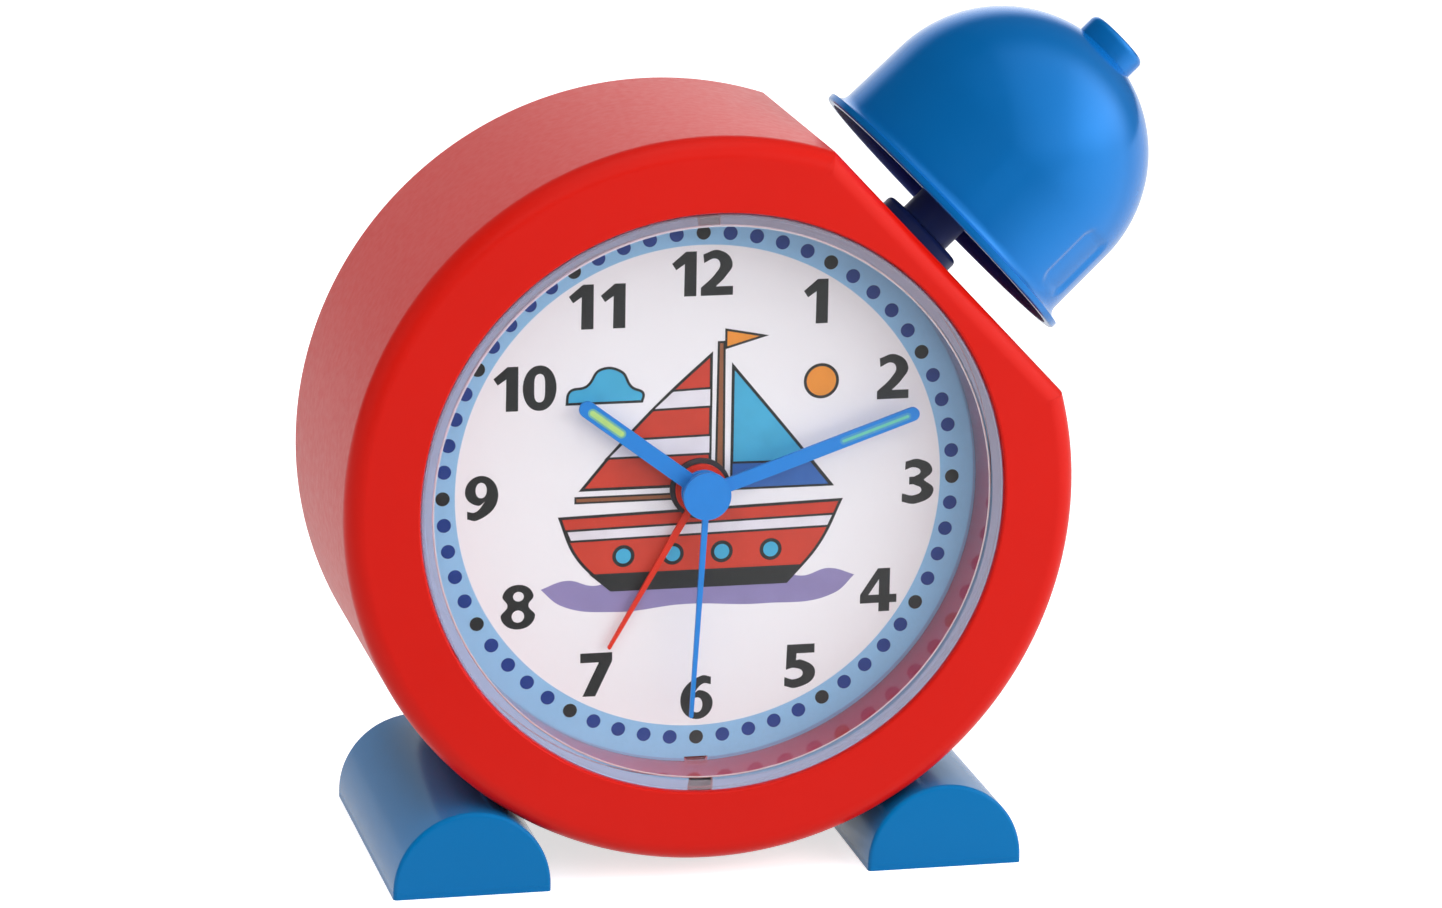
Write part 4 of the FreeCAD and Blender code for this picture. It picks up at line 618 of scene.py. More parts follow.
# %% Bell: spin and recess
FINE_SECTOR = math.radians(30)
FINE_STEPS, COARSE_STEPS = 75, 220
bell = bmesh.new()
verts = [bell.verts.new((radius, 0, height)) for radius, height in outline]
edges = [bell.edges.new(pair) for pair in zip(verts, verts[1:] + verts[:1])]
geometry = verts + edges
bmesh.ops.rotate(bell, verts=verts, matrix=Matrix.Rotation(RECESS_BEARING - FINE_SECTOR / 2, 3, "Z"))
for angle, steps in ((FINE_SECTOR, FINE_STEPS), (2 * math.pi - FINE_SECTOR, COARSE_STEPS)):
    geometry = bmesh.ops.spin(bell, geom=geometry, cent=(0, 0, 0), axis=(0, 0, 1), angle=angle,
                              steps=steps)["geom_last"]
bmesh.ops.remove_doubles(bell, verts=bell.verts, dist=WELD)
bmesh.ops.recalc_face_normals(bell, faces=bell.faces)
for vert in bell.verts:
    radius = math.hypot(vert.co.x, vert.co.y)
    turn = (math.atan2(vert.co.y, vert.co.x) - RECESS_BEARING + math.pi) % (2 * math.pi) - math.pi
    across = max(abs(turn * radius) - RECESS_HALF_WIDTH + RECESS_CORNER, 0)
    beyond = max(abs(vert.co.z - RECESS_MIDDLE) - RECESS_HALF_LENGTH + RECESS_CORNER, 0)
    inside = RECESS_CORNER - math.hypot(across, beyond)
    if inside > 0 and radius > inner_wall + SHELL / 2:
        share = min(inside / RECESS_SLOPE, 1)
        press = RECESS_DEPTH * share * share * (3 - 2 * share)
        vert.co.x *= 1 - press / radius
        vert.co.y *= 1 - press / radius
print("bell open edges", sum(not edge.is_manifold for edge in bell.edges))


def faces_in(face, radius):
    """True for the hollow side of the bell, without the rim."""
    outwards = face.normal.x * face.center.x + face.normal.y * face.center.y
    underside = face.normal.z < -0.3 and face.center.z > WALL_TOP
    return outwards < -0.05 * radius or underside


# The hollow side of the bell gets a darker, duller blue: painted shade inside the bell.
seat(bell, "bell_shell", "bell", BELL, more=[("painted_bell_shade", faces_in)])

# %% [markdown]
# The knob on the crown and the collar on the flat are small turned mouldings. Both have a softly rounded
# upper edge, which is where the light catches them.

# %% Bell knob and collar
KNOB_RADIUS, KNOB_TOP, KNOB_EDGE = 5.1, 92.2, 1.0
COLLAR_RADIUS, COLLAR_TOP, COLLAR_EDGE = 7.05, 51.1, 0.8
COLLAR_BORE, COLLAR_TUBE, COLLAR_FOOT = 4.58, 5.6, 45.0
TENON_TOP = KNOB_TOP - 1.2
upper, side = (KNOB_RADIUS - KNOB_EDGE, KNOB_TOP), (KNOB_RADIUS, KNOB_TOP - KNOB_EDGE)
knob = [(0, TENON_TOP), (TENON_HOLE, TENON_TOP), (TENON_HOLE, SEAT_HEIGHT), (KNOB_RADIUS, SEAT_HEIGHT), side]
knob += quarter((upper[0], side[1]), side, upper)
knob += [(0, KNOB_TOP)]
seat(spun(knob, SMALL_STEPS), "bell_button", "bell_knob", BELL)
upper, side = (COLLAR_RADIUS - COLLAR_EDGE, COLLAR_TOP), (COLLAR_RADIUS, COLLAR_TOP - COLLAR_EDGE)
collar = [(COLLAR_BORE, COLLAR_FOOT), (COLLAR_TUBE, COLLAR_FOOT), (COLLAR_TUBE, FLAT_HEIGHT)]
collar += [(COLLAR_RADIUS, FLAT_HEIGHT), side]
collar += quarter((upper[0], side[1]), side, upper)
collar += [(COLLAR_BORE, COLLAR_TOP)]
seat(spun(collar, SMALL_STEPS, closed=True), "collar_ring", "stem_collar", BELL)

# %% [markdown]
# The window is a cup: a flat pane with a wall that reaches back to the dial, and two hooks that click into
# the floor. Clear plastic shows every facet twice, once at each face, so it is spun in many steps. Its inner
# corner is slightly rounded, as in a mould, and carries a painted highlight; together they draw the thin
# bright ring near the rim.

# %% Window
PANE_FRONT, PANE_BACK, WINDOW_RADIUS, WINDOW_BORE, WINDOW_DEPTH = 0.3, 1.8, 43.85, 42.1, 11.6
WINDOW_EDGE, WINDOW_CORNER = 0.5, 0.3
WINDOW_STEPS = 384
HOOK_WIDTH = 3.0
HOOK = [(42.3, 11.0), (43.5, 11.0), (43.5, 14.05), (44.45, 14.05), (44.1, 15.2), (42.3, 15.2)]
outer, inner = WINDOW_RADIUS - WINDOW_EDGE, WINDOW_BORE - WINDOW_CORNER
cup = [(0, PANE_FRONT), (WINDOW_BORE, PANE_FRONT), (outer, PANE_FRONT)]
edge_back, corner_back = PANE_FRONT + WINDOW_EDGE, PANE_BACK + WINDOW_CORNER
cup += quarter((outer, edge_back), (outer, PANE_FRONT), (WINDOW_RADIUS, edge_back), 8)
cup += [(WINDOW_RADIUS, WINDOW_DEPTH), (WINDOW_BORE, WINDOW_DEPTH), (WINDOW_BORE, corner_back)]
cup += quarter((inner, corner_back), (WINDOW_BORE, corner_back), (inner, PANE_BACK), 6)
cup += [(0, PANE_BACK)]
hooks = bmesh.new()
for turn in (0, math.pi):
    side = [hooks.verts.new((-HOOK_WIDTH / 2, radius, depth)) for radius, depth in HOOK]
    moved = extruded(hooks, [hooks.faces.new(side)], (HOOK_WIDTH, 0, 0))
    bmesh.ops.rotate(hooks, verts=side + moved, matrix=Matrix.Rotation(turn, 3, "Z"))
bmesh.ops.recalc_face_normals(hooks, faces=hooks.faces)


def in_wall(face, radius):
    """True for the wall behind the pane, inside and outside."""
    return radius > WINDOW_BORE - 0.05 and face.center.z > corner_back


def in_rim(face, radius):
    """True for the front of the wall and its rounded outer edge."""
    return radius > WINDOW_BORE and face.center.z < edge_back


def in_corner(face, radius):
    """True for the rounded inner corner between pane and wall."""
    return inner < radius < WINDOW_BORE and PANE_BACK < face.center.z < corner_back


# The wall's pink is a painted reflection; the rim and the inner corner carry painted highlights.
seat(carved(spun(cup, WINDOW_STEPS), hooks, "UNION"), "window_cup", "lens", LATHE,
     more=[("pink_wall_reflection", in_wall), ("pale_rim_highlight", in_rim), ("corner_highlight", in_corner)])

# %% [markdown]
# The dial is a card with a light blue ring printed round it. Card and print are both turned rings, with a
# notch at 12 and at 6 for the window's hooks. The print is a real layer, a few hundredths thick, so it needs
# no image and stays sharp at any distance.

# %% Dial card and ring
DIAL_FRONT, CARD, DIAL_RADIUS = 11.6, 0.8, 43.8
RING_RADIUS, RING_OUTER = 36.96, 43.78
CARD_HOLE = 4.42
LAYER = 0.02
NOTCH_WIDTH, NOTCH_RADIUS = 3.6, 41.85


def card(inner, outer, front, back):
    """A flat ring round the clock's axis with its two notches."""
    ring = spun([(inner, front), (outer, front), (outer, back), (inner, back)], closed=True)
    notches = bmesh.new()
    for side in (-1, 1):
        middle = Matrix.Translation((0, side * (NOTCH_RADIUS + 5), (front + back) / 2))
        bmesh.ops.create_cube(notches, size=1.0, matrix=middle @ Matrix.Diagonal((NOTCH_WIDTH, 10, 4, 1)))
    return carved(ring, notches)


seat(card(CARD_HOLE, DIAL_RADIUS, DIAL_FRONT, DIAL_FRONT + CARD), "dial_card", "dial", LATHE)
seat(card(RING_RADIUS, RING_OUTER, DIAL_FRONT - LAYER, DIAL_FRONT), "dial_ring", "dial", LATHE,
     ink="ring_ink", replaces=False)

# %% [markdown]
# Sixty dots mark the minutes. Every fifth one is black and the others are navy. A loop sets small discs round
# the ring, all of one colour in one piece.

# %% Minute dots
DOT_CIRCLE, DOT_RADIUS, DOT_STEPS = 38.8, 1.07, 32
for ink, name in (("charcoal_ink", "hour_dots"), ("dot_ink", "minute_dots")):
    dots = bmesh.new()
    for minute in range(60):
        if (minute % 5 == 0) == (name == "hour_dots"):
            bearing = math.radians(6 * minute)
            depth = DIAL_FRONT - 1.5 * LAYER
            spot = Vector((DOT_CIRCLE * math.sin(bearing), depth, DOT_CIRCLE * math.cos(bearing)))
            rod(dots, DOT_RADIUS, LAYER, Matrix.Translation(spot) @ UPRIGHT, DOT_STEPS)
    seat(dots, name, "dial", CLOCK, ink=ink, replaces=False)

# %% [markdown]
# The numerals are heavy, upright figures. A stock typeface could be used, but none here has these shapes, so
# each figure is an outline of its own, in units of its height. Most points are corners. A third value of 1
# marks a smooth point, whose handles the curve works out by itself.


# %% Outlines of the figures
def oval(x, z, half_width, half_height):
    """A closed oval of four smooth points."""
    return [(x, z + half_height, 1), (x + half_width, z, 1), (x, z - half_height, 1), (x - half_width, z, 1)]


SIX = [(0.69, 0.96), (0.47, 0.995, 1), (0, 0.45, 1), (0.36, -0.01, 1), (0.74, 0.34, 1), (0.45, 0.66, 1),
       (0.29, 0.57), (0.52, 0.81, 1), (0.69, 0.785)]
FIGURES = {
    "0": [oval(0.375, 0.5, 0.375, 0.51), oval(0.375, 0.5, 0.12, 0.32)],
    "1": [[(0, 0.74), (0.095, 0.595), (0.285, 0.725), (0.277, 0), (0.55, 0), (0.55, 1), (0.31, 1)]],
    "2": [[(0, 0), (0.72, 0), (0.72, 0.2), (0.335, 0.2), (0.56, 0.43, 1), (0.70, 0.72, 1), (0.40, 1.01, 1),
           (0.045, 0.93), (0.065, 0.735), (0.335, 0.82, 1), (0.425, 0.70, 1), (0.33, 0.50, 1), (0, 0.18)]],
    "3": [[(0.075, 0.965), (0.38, 1.01, 1), (0.69, 0.76, 1), (0.50, 0.53), (0.73, 0.28, 1), (0.33, -0.01, 1),
           (0.005, 0.045), (0.005, 0.235), (0.29, 0.185, 1), (0.45, 0.30, 1), (0.27, 0.435), (0.165, 0.435),
           (0.165, 0.61), (0.28, 0.61), (0.42, 0.72, 1), (0.28, 0.825, 1), (0.065, 0.775)]],
    "4": [[(0.40, 1), (0.68, 1), (0.68, 0.39), (0.84, 0.39), (0.84, 0.20), (0.68, 0.20), (0.68, 0), (0.43, 0),
           (0.43, 0.20), (0, 0.20), (0, 0.40)],
          [(0.43, 0.39), (0.43, 0.75), (0.19, 0.39)]],
    "5": [[(0.06, 1), (0.69, 1), (0.69, 0.79), (0.28, 0.79), (0.27, 0.63), (0.38, 0.64, 1), (0.715, 0.32, 1),
           (0.28, -0.01, 1), (0.01, 0.045), (0.01, 0.25), (0.24, 0.19, 1), (0.43, 0.325, 1), (0.24, 0.455, 1),
           (0.04, 0.42)]],
    "6": [SIX, oval(0.38, 0.32, 0.125, 0.175)],
    "7": [[(0.01, 1), (0.73, 1), (0.73, 0.80), (0.355, 0), (0.065, 0), (0.43, 0.78), (0.01, 0.78)]],
    "8": [[(0.39, 1.01, 1), (0.73, 0.77, 1), (0.62, 0.53, 1), (0.77, 0.27, 1), (0.385, -0.01, 1),
           (0, 0.27, 1), (0.15, 0.53, 1), (0.04, 0.77, 1)],
          oval(0.395, 0.74, 0.12, 0.11), oval(0.385, 0.285, 0.14, 0.14)],
    "9": [[(0.74 - point[0], 0.99 - point[1]) + point[2:] for point in SIX], oval(0.36, 0.67, 0.125, 0.175)],
}
print("figures", "".join(FIGURES))

# %% [markdown]
# A flat curve fills its own holes, so one curve can hold all the figures. It is turned into a mesh while it
# still lies flat, then merged, given its thickness and stood upright on the card.


# %% Helper for printed shapes
def flat_sheet(contours, scale=1.0):
    """A bmesh of flat filled contours, whose corners are tuples and whose smooth points end in 1."""
    curve = bpy.data.curves.new("print", "CURVE")
    curve.dimensions = "2D"
    curve.fill_mode = "BOTH"
    curve.resolution_u = 10
    for contour in contours:
        spline = curve.splines.new("BEZIER")
        spline.bezier_points.add(len(contour) - 1)
        spline.use_cyclic_u = True
        for point, (x, z, *smooth) in zip(spline.bezier_points, contour):
            point.co = (x * scale, z * scale, 0)
            point.handle_left_type = "AUTO" if smooth else "VECTOR"
            point.handle_right_type = "AUTO" if smooth else "VECTOR"
    holder = added("print", curve)
    bpy.context.view_layer.update()
    mesh = bpy.data.meshes.new_from_object(holder.evaluated_get(bpy.context.evaluated_depsgraph_get()))
    sheet = bmesh.new()
    sheet.from_mesh(mesh)
    bpy.data.curves.remove(curve)
    bpy.data.meshes.remove(mesh)
    bmesh.ops.remove_doubles(sheet, verts=sheet.verts, dist=WELD)
    return sheet


def thickened(sheet, depth):
    """Give a flat sheet its thickness towards the viewer."""
    extruded(sheet, list(sheet.faces), (0, 0, depth))
    bmesh.ops.recalc_face_normals(sheet, faces=sheet.faces)
    return sheet


ON_CARD = CLOCK @ Matrix.Translation((0, DIAL_FRONT, 0)) @ UPRIGHT


# %% Numerals
NUMERAL_HEIGHT = 6.75
FIGURE_GAP = {"10": 0.10, "11": 0.158, "12": 0.10}
PLACES = {
    "1": (17.22, 27.78), "2": (29.31, 15.77), "3": (33.54, -0.56), "4": (27.82, -17.22),
    "5": (15.85, -28.49), "6": (-0.01, -32.58), "7": (-15.49, -28.20), "8": (-27.40, -17.11),
    "9": (-32.96, -0.08), "10": (-26.56, 16.25), "11": (-15.86, 28.22), "12": (-0.06, 32.62),
}
contours = []
for numeral, (x, z) in PLACES.items():
    widths = [max(point[0] for point in FIGURES[digit][0]) for digit in numeral]
    left = -(sum(widths) + FIGURE_GAP.get(numeral, 0)) / 2
    for digit, width in zip(numeral, widths):
        for contour in FIGURES[digit]:
            contours.append([
                (left + point[0] + x / NUMERAL_HEIGHT, point[1] - 0.5 + z / NUMERAL_HEIGHT) + point[2:]
                for point in contour
            ])
        left += width + FIGURE_GAP.get(numeral, 0)
seat(thickened(flat_sheet(contours, NUMERAL_HEIGHT), LAYER), "numerals", "dial", ON_CARD, ink="charcoal_ink",
     replaces=False)

# %% [markdown]
# The middle of the dial carries a cheerful print. Here it is a toy sailing boat with bold black outlines and
# slightly uneven fills, like a picture in a children's book. An outline could be a thin line of its own, but
# then it would have to follow every curve. Instead, each shape is printed twice: the full shape in black, and
# over it the same shape, inset by the width of the line, in colour.

# %% Picture: shapes
BOAT = [
    (0, "sea_lavender", 0, [(-24, -14.6), (-20, -13.4, 1), (-16, -14.4, 1), (-12, -13.5, 1), (-8, -14.4, 1),
                            (-4, -13.5, 1), (0, -14.4, 1), (4, -13.5, 1), (8, -14.4, 1), (12, -13.5, 1),
                            (16, -14.4, 1), (20, -13.4, 1), (24, -14.6), (21, -17.3, 1), (10, -18.4, 1),
                            (-2, -17.9, 1), (-13, -18.6, 1), (-21, -17.2, 1)]),
    (0, "pennant_orange", 0.45, oval(18.3, 15.6, 2.7, 2.7)),
    (0, "jib_cyan", 0.4, [(-20.5, 13.4), (-20, 15.6, 1), (-17.4, 16.4, 1), (-15.4, 18.8, 1), (-12, 18.4, 1),
                          (-10.4, 16, 1), (-8.6, 14.9, 1), (-8.8, 13.4)]),
    (1, "mast_brown", 0.35, [(2.2, -3.2), (2.4, 22.3), (3.6, 22.3), (3.8, -3.2)]),
    (1, "mast_brown", 0.3, [(-19, -1.7), (-19, -0.6), (2.4, -0.6), (2.4, -1.7)]),
    (1, "pennant_orange", 0.35, [(3.5, 21), (3.5, 24.2), (10.2, 22.9)]),
    (1, "hull_red", 0.45, [(1.7, 20.8), (-5.4, 14.4, 1), (-12.6, 7, 1), (-18.4, 0.2), (1.7, 0.2)]),
    (2, "sail_white", 0.35, [(1.7, 15.4), (-4.4, 15.2), (-7.9, 12), (1.7, 12.2)]),
    (2, "sail_white", 0.35, [(1.7, 8.2), (-11.4, 8), (-14.6, 4.9), (1.7, 5)]),
    (1, "jib_cyan", 0.45, [(4.6, 19), (13.2, 8.6, 1), (20.6, -0.6), (4.6, -0.6)]),
    (2, "deep_blue", 0.35, [(4.6, 3.8), (17, 3.6), (20.4, -0.6), (4.6, -0.6)]),
    (1, "hull_red", 0.45, [(-21.5, -3.6), (22, -2.6), (18.6, -9.6, 1), (13.6, -15.4), (-13.4, -15.4),
                           (-18.8, -10, 1)]),
    (2, "charcoal_ink", 0, [(-16.7, -12.6), (16.2, -12.6), (13.6, -15.4), (-13.4, -15.4)]),
    (2, "sail_white", 0.35, [(-20.5, -5.6), (20.9, -4.8), (19.9, -7), (-19.7, -7.6)]),
] + [(2, "jib_cyan", 0.55, oval(x, -10, 1.7, 1.7)) for x in (-11.5, -4, 3.5, 11)]
PICTURE_LAYER = 0.01
print("picture", len(BOAT), "shapes")

# %% Picture: print every ink
prints = {ink: bmesh.new() for ink in ["charcoal_ink"] + [shape[1] for shape in BOAT]}


def print_shape(ink, sheet, level):
    """Add a flat sheet to the print of one ink, this many layers above the card."""
    bmesh.ops.translate(sheet, verts=sheet.verts, vec=(0, 0, level * PICTURE_LAYER))
    mesh = bpy.data.meshes.new("shape")
    thickened(sheet, PICTURE_LAYER).to_mesh(mesh)
    sheet.free()
    prints[ink].from_mesh(mesh)
    bpy.data.meshes.remove(mesh)


for level, ink, line, contour in BOAT:
    sheet = flat_sheet([contour])
    if line:
        print_shape("charcoal_ink", sheet.copy(), 2 * level)
        bmesh.ops.dissolve_faces(sheet, faces=sheet.faces)
        border = bmesh.ops.inset_region(sheet, faces=sheet.faces, use_boundary=True, use_even_offset=True,
                                        thickness=line)["faces"]
        bmesh.ops.delete(sheet, geom=border, context="FACES")
    print_shape(ink, sheet, 2 * level + 1)
for ink, sheet in prints.items():
    seat(sheet, "boat_" + ink, "dial", ON_CARD, ink=ink, replaces=False)

# %% [markdown]
# A flat hand is a tapered strip with a round tip on a round hub, stamped from sheet and painted. The strip
# starts as four corners. A vertex bevel of half the width turns its end into a half circle. Strip and hub are
# joined by a Boolean, and a small bevel along the edges catches the light. On the two hands with glow paint,
# the bevel's faces get a lighter blue, a painted highlight.

# %% Hands
HAND_SHEET = 0.5
GLOW_DEPTH = 0.25
GLOW_SLACK = 0.01
NEARLY_HALF = 0.499


def strip(root, tip, start, end, front, back, round_both=False):
    """A tapered strip along Z with a round end, or two."""
    bm = bmesh.new()
    corners = [(-root / 2, start), (root / 2, start), (tip / 2, end), (-tip / 2, end)]
    verts = [bm.verts.new((x, front, z)) for x, z in corners]
    bm.faces.new(verts)
    for pair, width in ((verts[2:], tip), (verts[:2], root))[:1 + round_both]:
        rounded(bm, pair, width * NEARLY_HALF, 10)
    extruded(bm, list(bm.faces), (0, back - front, 0))
    bmesh.ops.recalc_face_normals(bm, faces=bm.faces)
    return bm


def disc(radius, front, back, steps=SMALL_STEPS):
    """A round disc across the clock's axis."""
    bm = bmesh.new()
    middle = Matrix.Translation((0, (front + back) / 2, 0)) @ UPRIGHT
    rod(bm, radius, back - front, middle, steps)
    return bm


def hand(name, node, bearing, plane, length, root, tip, hub, bore, glow=None):
    """A painted hand with its hub, its bore and, where glow is given, a strip of glow paint."""
    turn = CLOCK @ Matrix.Rotation(math.radians(bearing), 4, "Y")
    back = plane + HAND_SHEET
    bm = carved(strip(root, tip, 0, length, plane, back), disc(hub, plane, back), "UNION")
    bm = carved(bm, disc(bore, plane - 1, back + 1))
    if glow:
        start, end, width, core, haze_ink, core_ink = glow
        inlay = node.replace("_hand", "_inlay")
        bm = carved(bm, strip(width, width, start, end, plane - 1, plane + GLOW_DEPTH, True))
        slim = width - 2 * GLOW_SLACK
        haze = strip(slim, slim, start + GLOW_SLACK, end - GLOW_SLACK, plane - LAYER, plane + GLOW_DEPTH,
                     True)
        seat(haze, name + "_haze", inlay, turn, ink=haze_ink)
        inset = (width - core) / 2
        bright = strip(core, core, start + inset, end - inset, plane - 2 * LAYER, plane, True)
        seat(bright, name + "_glow", inlay, turn, ink=core_ink, replaces=False)
    seat(bm, name, node, turn, soft_edge=0.2, highlight_ink="painted_edge_highlight" if glow else None)


MINUTE_GLOW = (21.6, 33.0, 1.1, 0.45, "pale_haze", "pale_glow")
HOUR_GLOW = (15.0, 21.9, 1.4, 0.8, "glow_haze", "glow_paint")
hand("minute_pointer", "minute_hand", 71.0, 7.8, 34.35, 2.1, 2.1, 3.0, 1.4, MINUTE_GLOW)
hand("hour_pointer", "hour_hand", 307.0, 9.0, 23.35, 2.5, 2.5, 3.3, 2.3, HOUR_GLOW)
hand("alarm_pointer", "alarm_hand", 210.0, 10.3, 27.7, 1.15, 0.5, 3.9, 3.3)

# %% Second hand and cap
CAP_RADIUS, CAP_FRONT, CAP_BACK = 3.6, 6.3, 7.2
PIN_RADIUS, PIN_SKIN, PIN_STEPS = 0.5, 0.3, 32
SECOND_PLANE, SECOND_LENGTH, SECOND_ROOT, SECOND_TIP = 6.6, 34.3, 0.95, 0.6
SECOND_TURN = Matrix.Rotation(math.radians(183.2), 4, "Y")
sweep = strip(SECOND_ROOT, SECOND_TIP, 0, SECOND_LENGTH, SECOND_PLANE, SECOND_PLANE + HAND_SHEET)
sweep = carved(sweep, disc(CAP_RADIUS, CAP_FRONT, CAP_BACK), "UNION")
sweep = carved(sweep, disc(PIN_RADIUS, CAP_FRONT + PIN_SKIN, CAP_BACK + 1, PIN_STEPS))
seat(sweep, "second_pointer", "second_hand", CLOCK @ SECOND_TURN, soft_edge=0.12)

# %% [markdown]
# The camera stands where the photograph was taken: slightly to the left and above, far away with a long lens.
# Its axes are written as the three directions of its view, which is exact and needs no angles to be turned in
# the right order.

# %% Camera
RIGHT = Vector((0.97387137, -0.2265551, 0.01572728))
UP = Vector((0.04324093, 0.25296999, 0.96650732))
BACK = Vector((-0.22294569, -0.94057375, 0.25615668))
STAND = AXIS + Vector((-0.1812333, -0.7668326, 0.2168750))
lens = bpy.data.cameras.new("camera")
lens.sensor_width = 36.0
lens.sensor_fit = "HORIZONTAL"
lens.lens = 139.105
lens.clip_start = 0.01
camera = added("camera", lens)
camera.matrix_world = Matrix.Translation(STAND) @ Matrix((RIGHT, UP, BACK)).transposed().to_4x4()
bpy.context.scene.camera = camera
print("camera", [round(value, 3) for value in STAND])

# %% [markdown]
# The studio is a white sweep. To the camera, and to anything seen through glass, it is plain white. Mirrors
# see a painted room instead. It is dim in front, as it is behind a photographer, and white far behind the
# clock. On the right it gets brighter in soft steps, which give the bell its light and dark areas. The dim
# front keeps the red face and the window rich: a white one would lay a grey veil over them.


# %% Helpers for the studio
def maths(tree, operation, *values, clamped=True):
    """A Math node between sockets and numbers."""
    node = tree.nodes.new("ShaderNodeMath")
    node.operation = operation
    node.use_clamp = clamped
    for socket, value in zip(node.inputs, values):
        if isinstance(value, (int, float)):
            socket.default_value = value
        else:
            tree.links.new(value, socket)
    return node.outputs[0]


def along(tree, output, axis, normalized=False):
    """One axis of these coordinates. Normalized, they give the direction in which the place lies."""
    coordinates = tree.nodes.new("ShaderNodeTexCoord").outputs[output]
    if normalized:
        unit = tree.nodes.new("ShaderNodeVectorMath")
        unit.operation = "NORMALIZE"
        tree.links.new(coordinates, unit.inputs[0])
        coordinates = unit.outputs["Vector"]
    parts = tree.nodes.new("ShaderNodeSeparateXYZ")
    tree.links.new(coordinates, parts.inputs["Vector"])
    return parts.outputs[axis]


def step(tree, value, low, high, start=0.0, end=1.0):
    """A soft step from start to end while the value goes from low to high."""
    ramp = tree.nodes.new("ShaderNodeMapRange")
    ramp.interpolation_type = "SMOOTHSTEP"
    ramp.inputs["From Min"].default_value = low
    ramp.inputs["From Max"].default_value = high
    ramp.inputs["To Min"].default_value = start
    ramp.inputs["To Max"].default_value = end
    tree.links.new(value, ramp.inputs["Value"])
    return ramp.outputs["Result"]


def side_light(tree, output, stops):
    """The bright right side of the mirrored room; stops pair a place from -1 to 1 with a brightness."""
    half = maths(tree, "MULTIPLY_ADD", along(tree, output, "X", normalized=True), 0.5, 0.5)
    ramp = tree.nodes.new("ShaderNodeValToRGB")
    marks = ramp.color_ramp.elements
    while len(marks) < len(stops):
        marks.new(0.5)
    for mark, (place, level) in zip(marks, stops):
        mark.position = 0.5 + place / 2
        mark.color = (level, level, level, 1)
    tree.links.new(half, ramp.inputs["Fac"])
    in_front = step(tree, along(tree, output, "Y", normalized=True), *SIDE_END, SIDE_GLOW, SIDE_GLOW * 0.15)
    return maths(tree, "MULTIPLY", ramp.outputs["Color"], in_front, clamped=False)


def first_mirror(tree):
    """1 for rays that show the backdrop in a mirror, and 0 for all others."""
    path = tree.nodes.new("ShaderNodeLightPath")
    first = maths(tree, "LESS_THAN", path.outputs["Diffuse Depth"], 0.5)
    return maths(tree, "MULTIPLY", path.outputs["Is Glossy Ray"], first)


def shown(tree):
    """1 for rays that show the backdrop straight or through glass, and 0 for all others."""
    path = tree.nodes.new("ShaderNodeLightPath")
    straight = maths(tree, "ADD", path.outputs["Is Camera Ray"], path.outputs["Is Transmission Ray"])
    first = maths(tree, "LESS_THAN", path.outputs["Diffuse Depth"], 0.5)
    return maths(tree, "MULTIPLY", straight, first)


# %% Floor
FLOOR_SIZE = 4.0
FLOOR_GLOW = 0.68
DIM_FLOOR, WHITE_FLOOR = -0.13, -0.03
SIDE_GLOW, SIDE_END = 2.0, (0.0, 0.45)
FLOOR_STOPS = [(-1.0, 0.02), (-0.02, 0.02), (0.20, 0.09), (0.45, 0.20), (0.65, 0.38), (0.94, 0.62)]
floor_sheet = bmesh.new()
bmesh.ops.create_grid(floor_sheet, x_segments=8, y_segments=8, size=FLOOR_SIZE)
floor_mesh = bpy.data.meshes.new("floor")
floor_sheet.to_mesh(floor_mesh)
floor_sheet.free()
added("floor", floor_mesh)
paper = bpy.data.materials.new("white_sweep")
paper.use_nodes = True
tree = paper.node_tree
shader = tree.nodes["Principled BSDF"]
shader.inputs["Base Color"].default_value = rgb(240, 240, 242)
shader.inputs["Roughness"].default_value = 0.9
shader.inputs["Specular IOR Level"].default_value = 0.0
glow = tree.nodes.new("ShaderNodeEmission")
tree.links.new(maths(tree, "MULTIPLY", shown(tree), FLOOR_GLOW), glow.inputs["Strength"])
both = tree.nodes.new("ShaderNodeAddShader")
tree.links.new(shader.outputs["BSDF"], both.inputs[0])
tree.links.new(glow.outputs["Emission"], both.inputs[1])
near = step(tree, along(tree, "Object", "Y"), DIM_FLOOR, WHITE_FLOOR)
beside = side_light(tree, "Object", FLOOR_STOPS)
dusk = tree.nodes.new("ShaderNodeEmission")
tree.links.new(maths(tree, "MAXIMUM", near, beside, clamped=False), dusk.inputs["Strength"])
either = tree.nodes.new("ShaderNodeMixShader")
tree.links.new(first_mirror(tree), either.inputs["Fac"])
tree.links.new(both.outputs["Shader"], either.inputs[1])
tree.links.new(dusk.outputs["Emission"], either.inputs[2])
tree.links.new(either.outputs["Shader"], tree.nodes["Material Output"].inputs["Surface"])
floor_mesh.materials.append(paper)
print("floor", FLOOR_SIZE * 2, "m wide")

# %% World
FRONT_AMBIENT, BACK_AMBIENT = 0.10, 1.0
FRONT_ROOM, BACK_ROOM = -0.4, 0.9
DIM_WALL, WHITE_WALL = 0.76, 0.97
LEFT_WALL, RIGHT_WALL = 0.85, 1.5
LOW_ROOM = 0.6
ROOM_STOPS = [(-1.0, 0.02), (-0.12, 0.02), (-0.04, 0.11), (0.11, 0.18), (0.59, 0.38), (0.94, 1.0)]
world = bpy.data.worlds.new("studio")
world.use_nodes = True
bpy.context.scene.world = world
tree = world.node_tree
background = tree.nodes["Background"]
background.inputs["Color"].default_value = (1, 1, 1, 1)
around = tree.nodes.new("ShaderNodeMapRange")
around.inputs["To Min"].default_value = FRONT_AMBIENT
around.inputs["To Max"].default_value = BACK_AMBIENT
tree.links.new(step(tree, along(tree, "Generated", "Y"), FRONT_ROOM, BACK_ROOM), around.inputs["Value"])
path = tree.nodes.new("ShaderNodeLightPath")
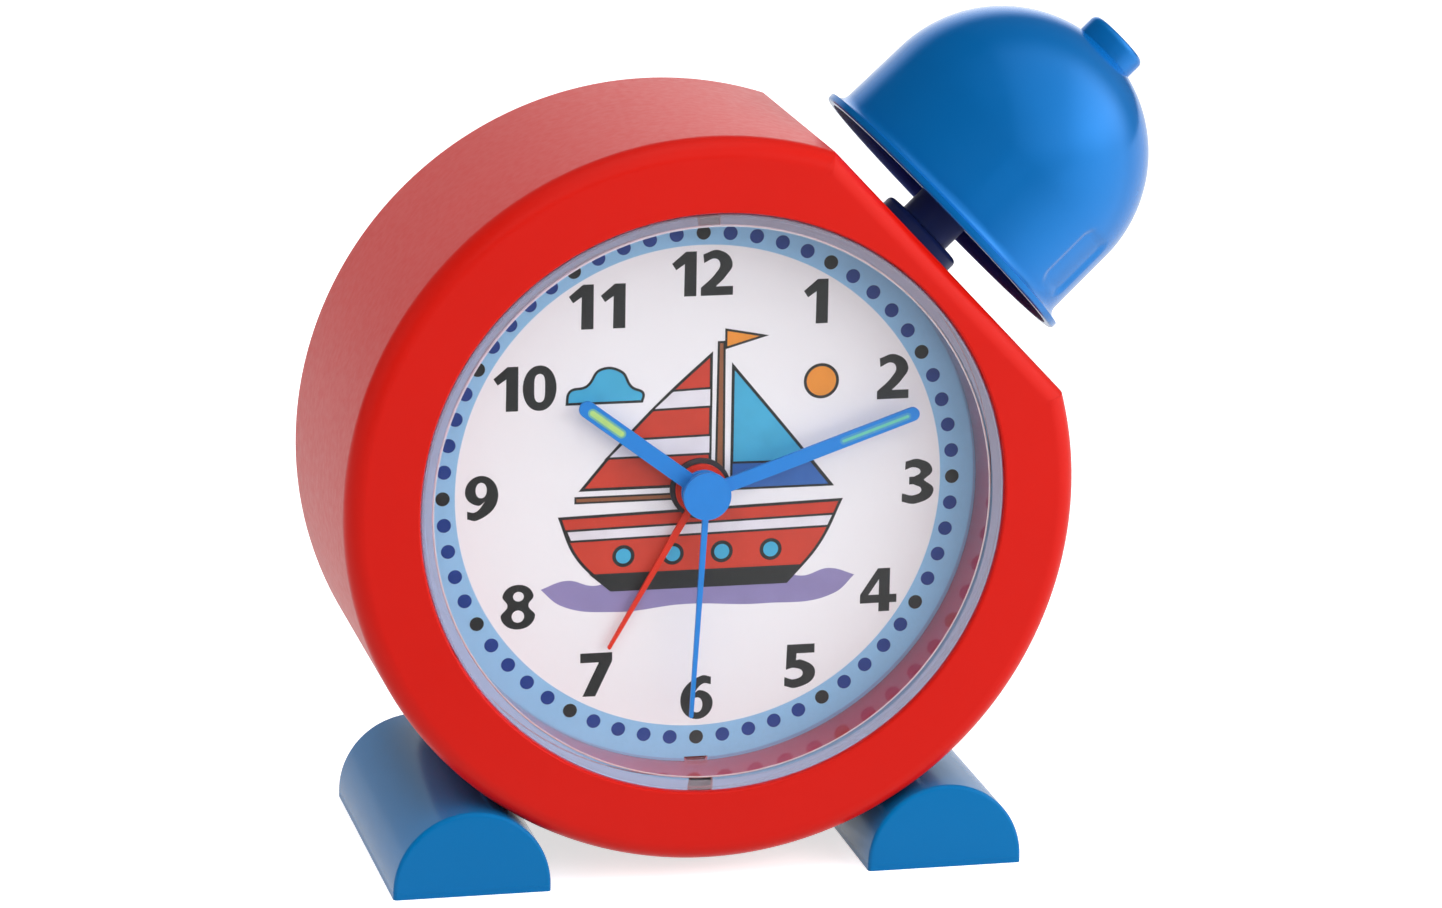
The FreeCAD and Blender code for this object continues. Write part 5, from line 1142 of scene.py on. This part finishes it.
scattered = maths(tree, "SUBTRACT", 1.0, path.outputs["Is Glossy Ray"])
soft = maths(tree, "MULTIPLY", scattered, around.outputs["Result"])
plain = maths(tree, "MAXIMUM", soft, shown(tree))
across = step(tree, along(tree, "Generated", "X"), -0.2, 0.35, LEFT_WALL, RIGHT_WALL)
behind = step(tree, along(tree, "Generated", "Y"), DIM_WALL, WHITE_WALL)
wall = maths(tree, "MULTIPLY", behind, across, clamped=False)
side = side_light(tree, "Generated", ROOM_STOPS)
lower = step(tree, along(tree, "Generated", "Z"), -0.05, 0.35, LOW_ROOM, 1.0)
side = maths(tree, "MULTIPLY", side, lower, clamped=False)
mirrored = maths(tree, "ADD", wall, side, clamped=False)
in_mirrors = maths(tree, "MULTIPLY", mirrored, first_mirror(tree), clamped=False)
tree.links.new(maths(tree, "MAXIMUM", plain, in_mirrors, clamped=False), background.inputs["Strength"])

# %% [markdown]
# Four soft lamps light the clock. A big one stands near it on the right, at about the clock's own height, so
# the face gets lighter from left to right as in the photograph. Weak ones in front, on the left and above
# keep the other sides from going dark. Mirrors don't see the lamps: the painted room is all they need.


# %% Lamps
def softbox(name, direction, distance, width, height, level):
    """A lamp in a direction from the clock, as bright as the share of white that it gives a facing card."""
    lamp = bpy.data.lights.new(name, "AREA")
    lamp.shape = "RECTANGLE"
    lamp.size = width
    lamp.size_y = height
    lamp.energy = level * (math.pi * distance) ** 2
    holder = added(name, lamp)
    aim = Vector(direction).normalized()
    place = Matrix.Translation(AXIS + aim * distance)
    holder.matrix_world = place @ aim.to_track_quat("Z", "Y").to_matrix().to_4x4()
    holder.visible_glossy = False


softbox("key", (0.82, -0.55, 0.14), 0.70, 0.8, 0.8, 1.34)
softbox("front", (-0.10, -0.85, 0.50), 0.9, 0.6, 0.5, 0.22)
softbox("left", (-0.88, -0.28, 0.20), 1.0, 0.8, 0.8, 0.16)
softbox("top", (0.0, -0.30, 0.95), 1.2, 1.0, 1.0, 0.52)
bpy.context.scene.view_settings.view_transform = "Standard"
print("lamps", [light.name for light in bpy.data.lights])
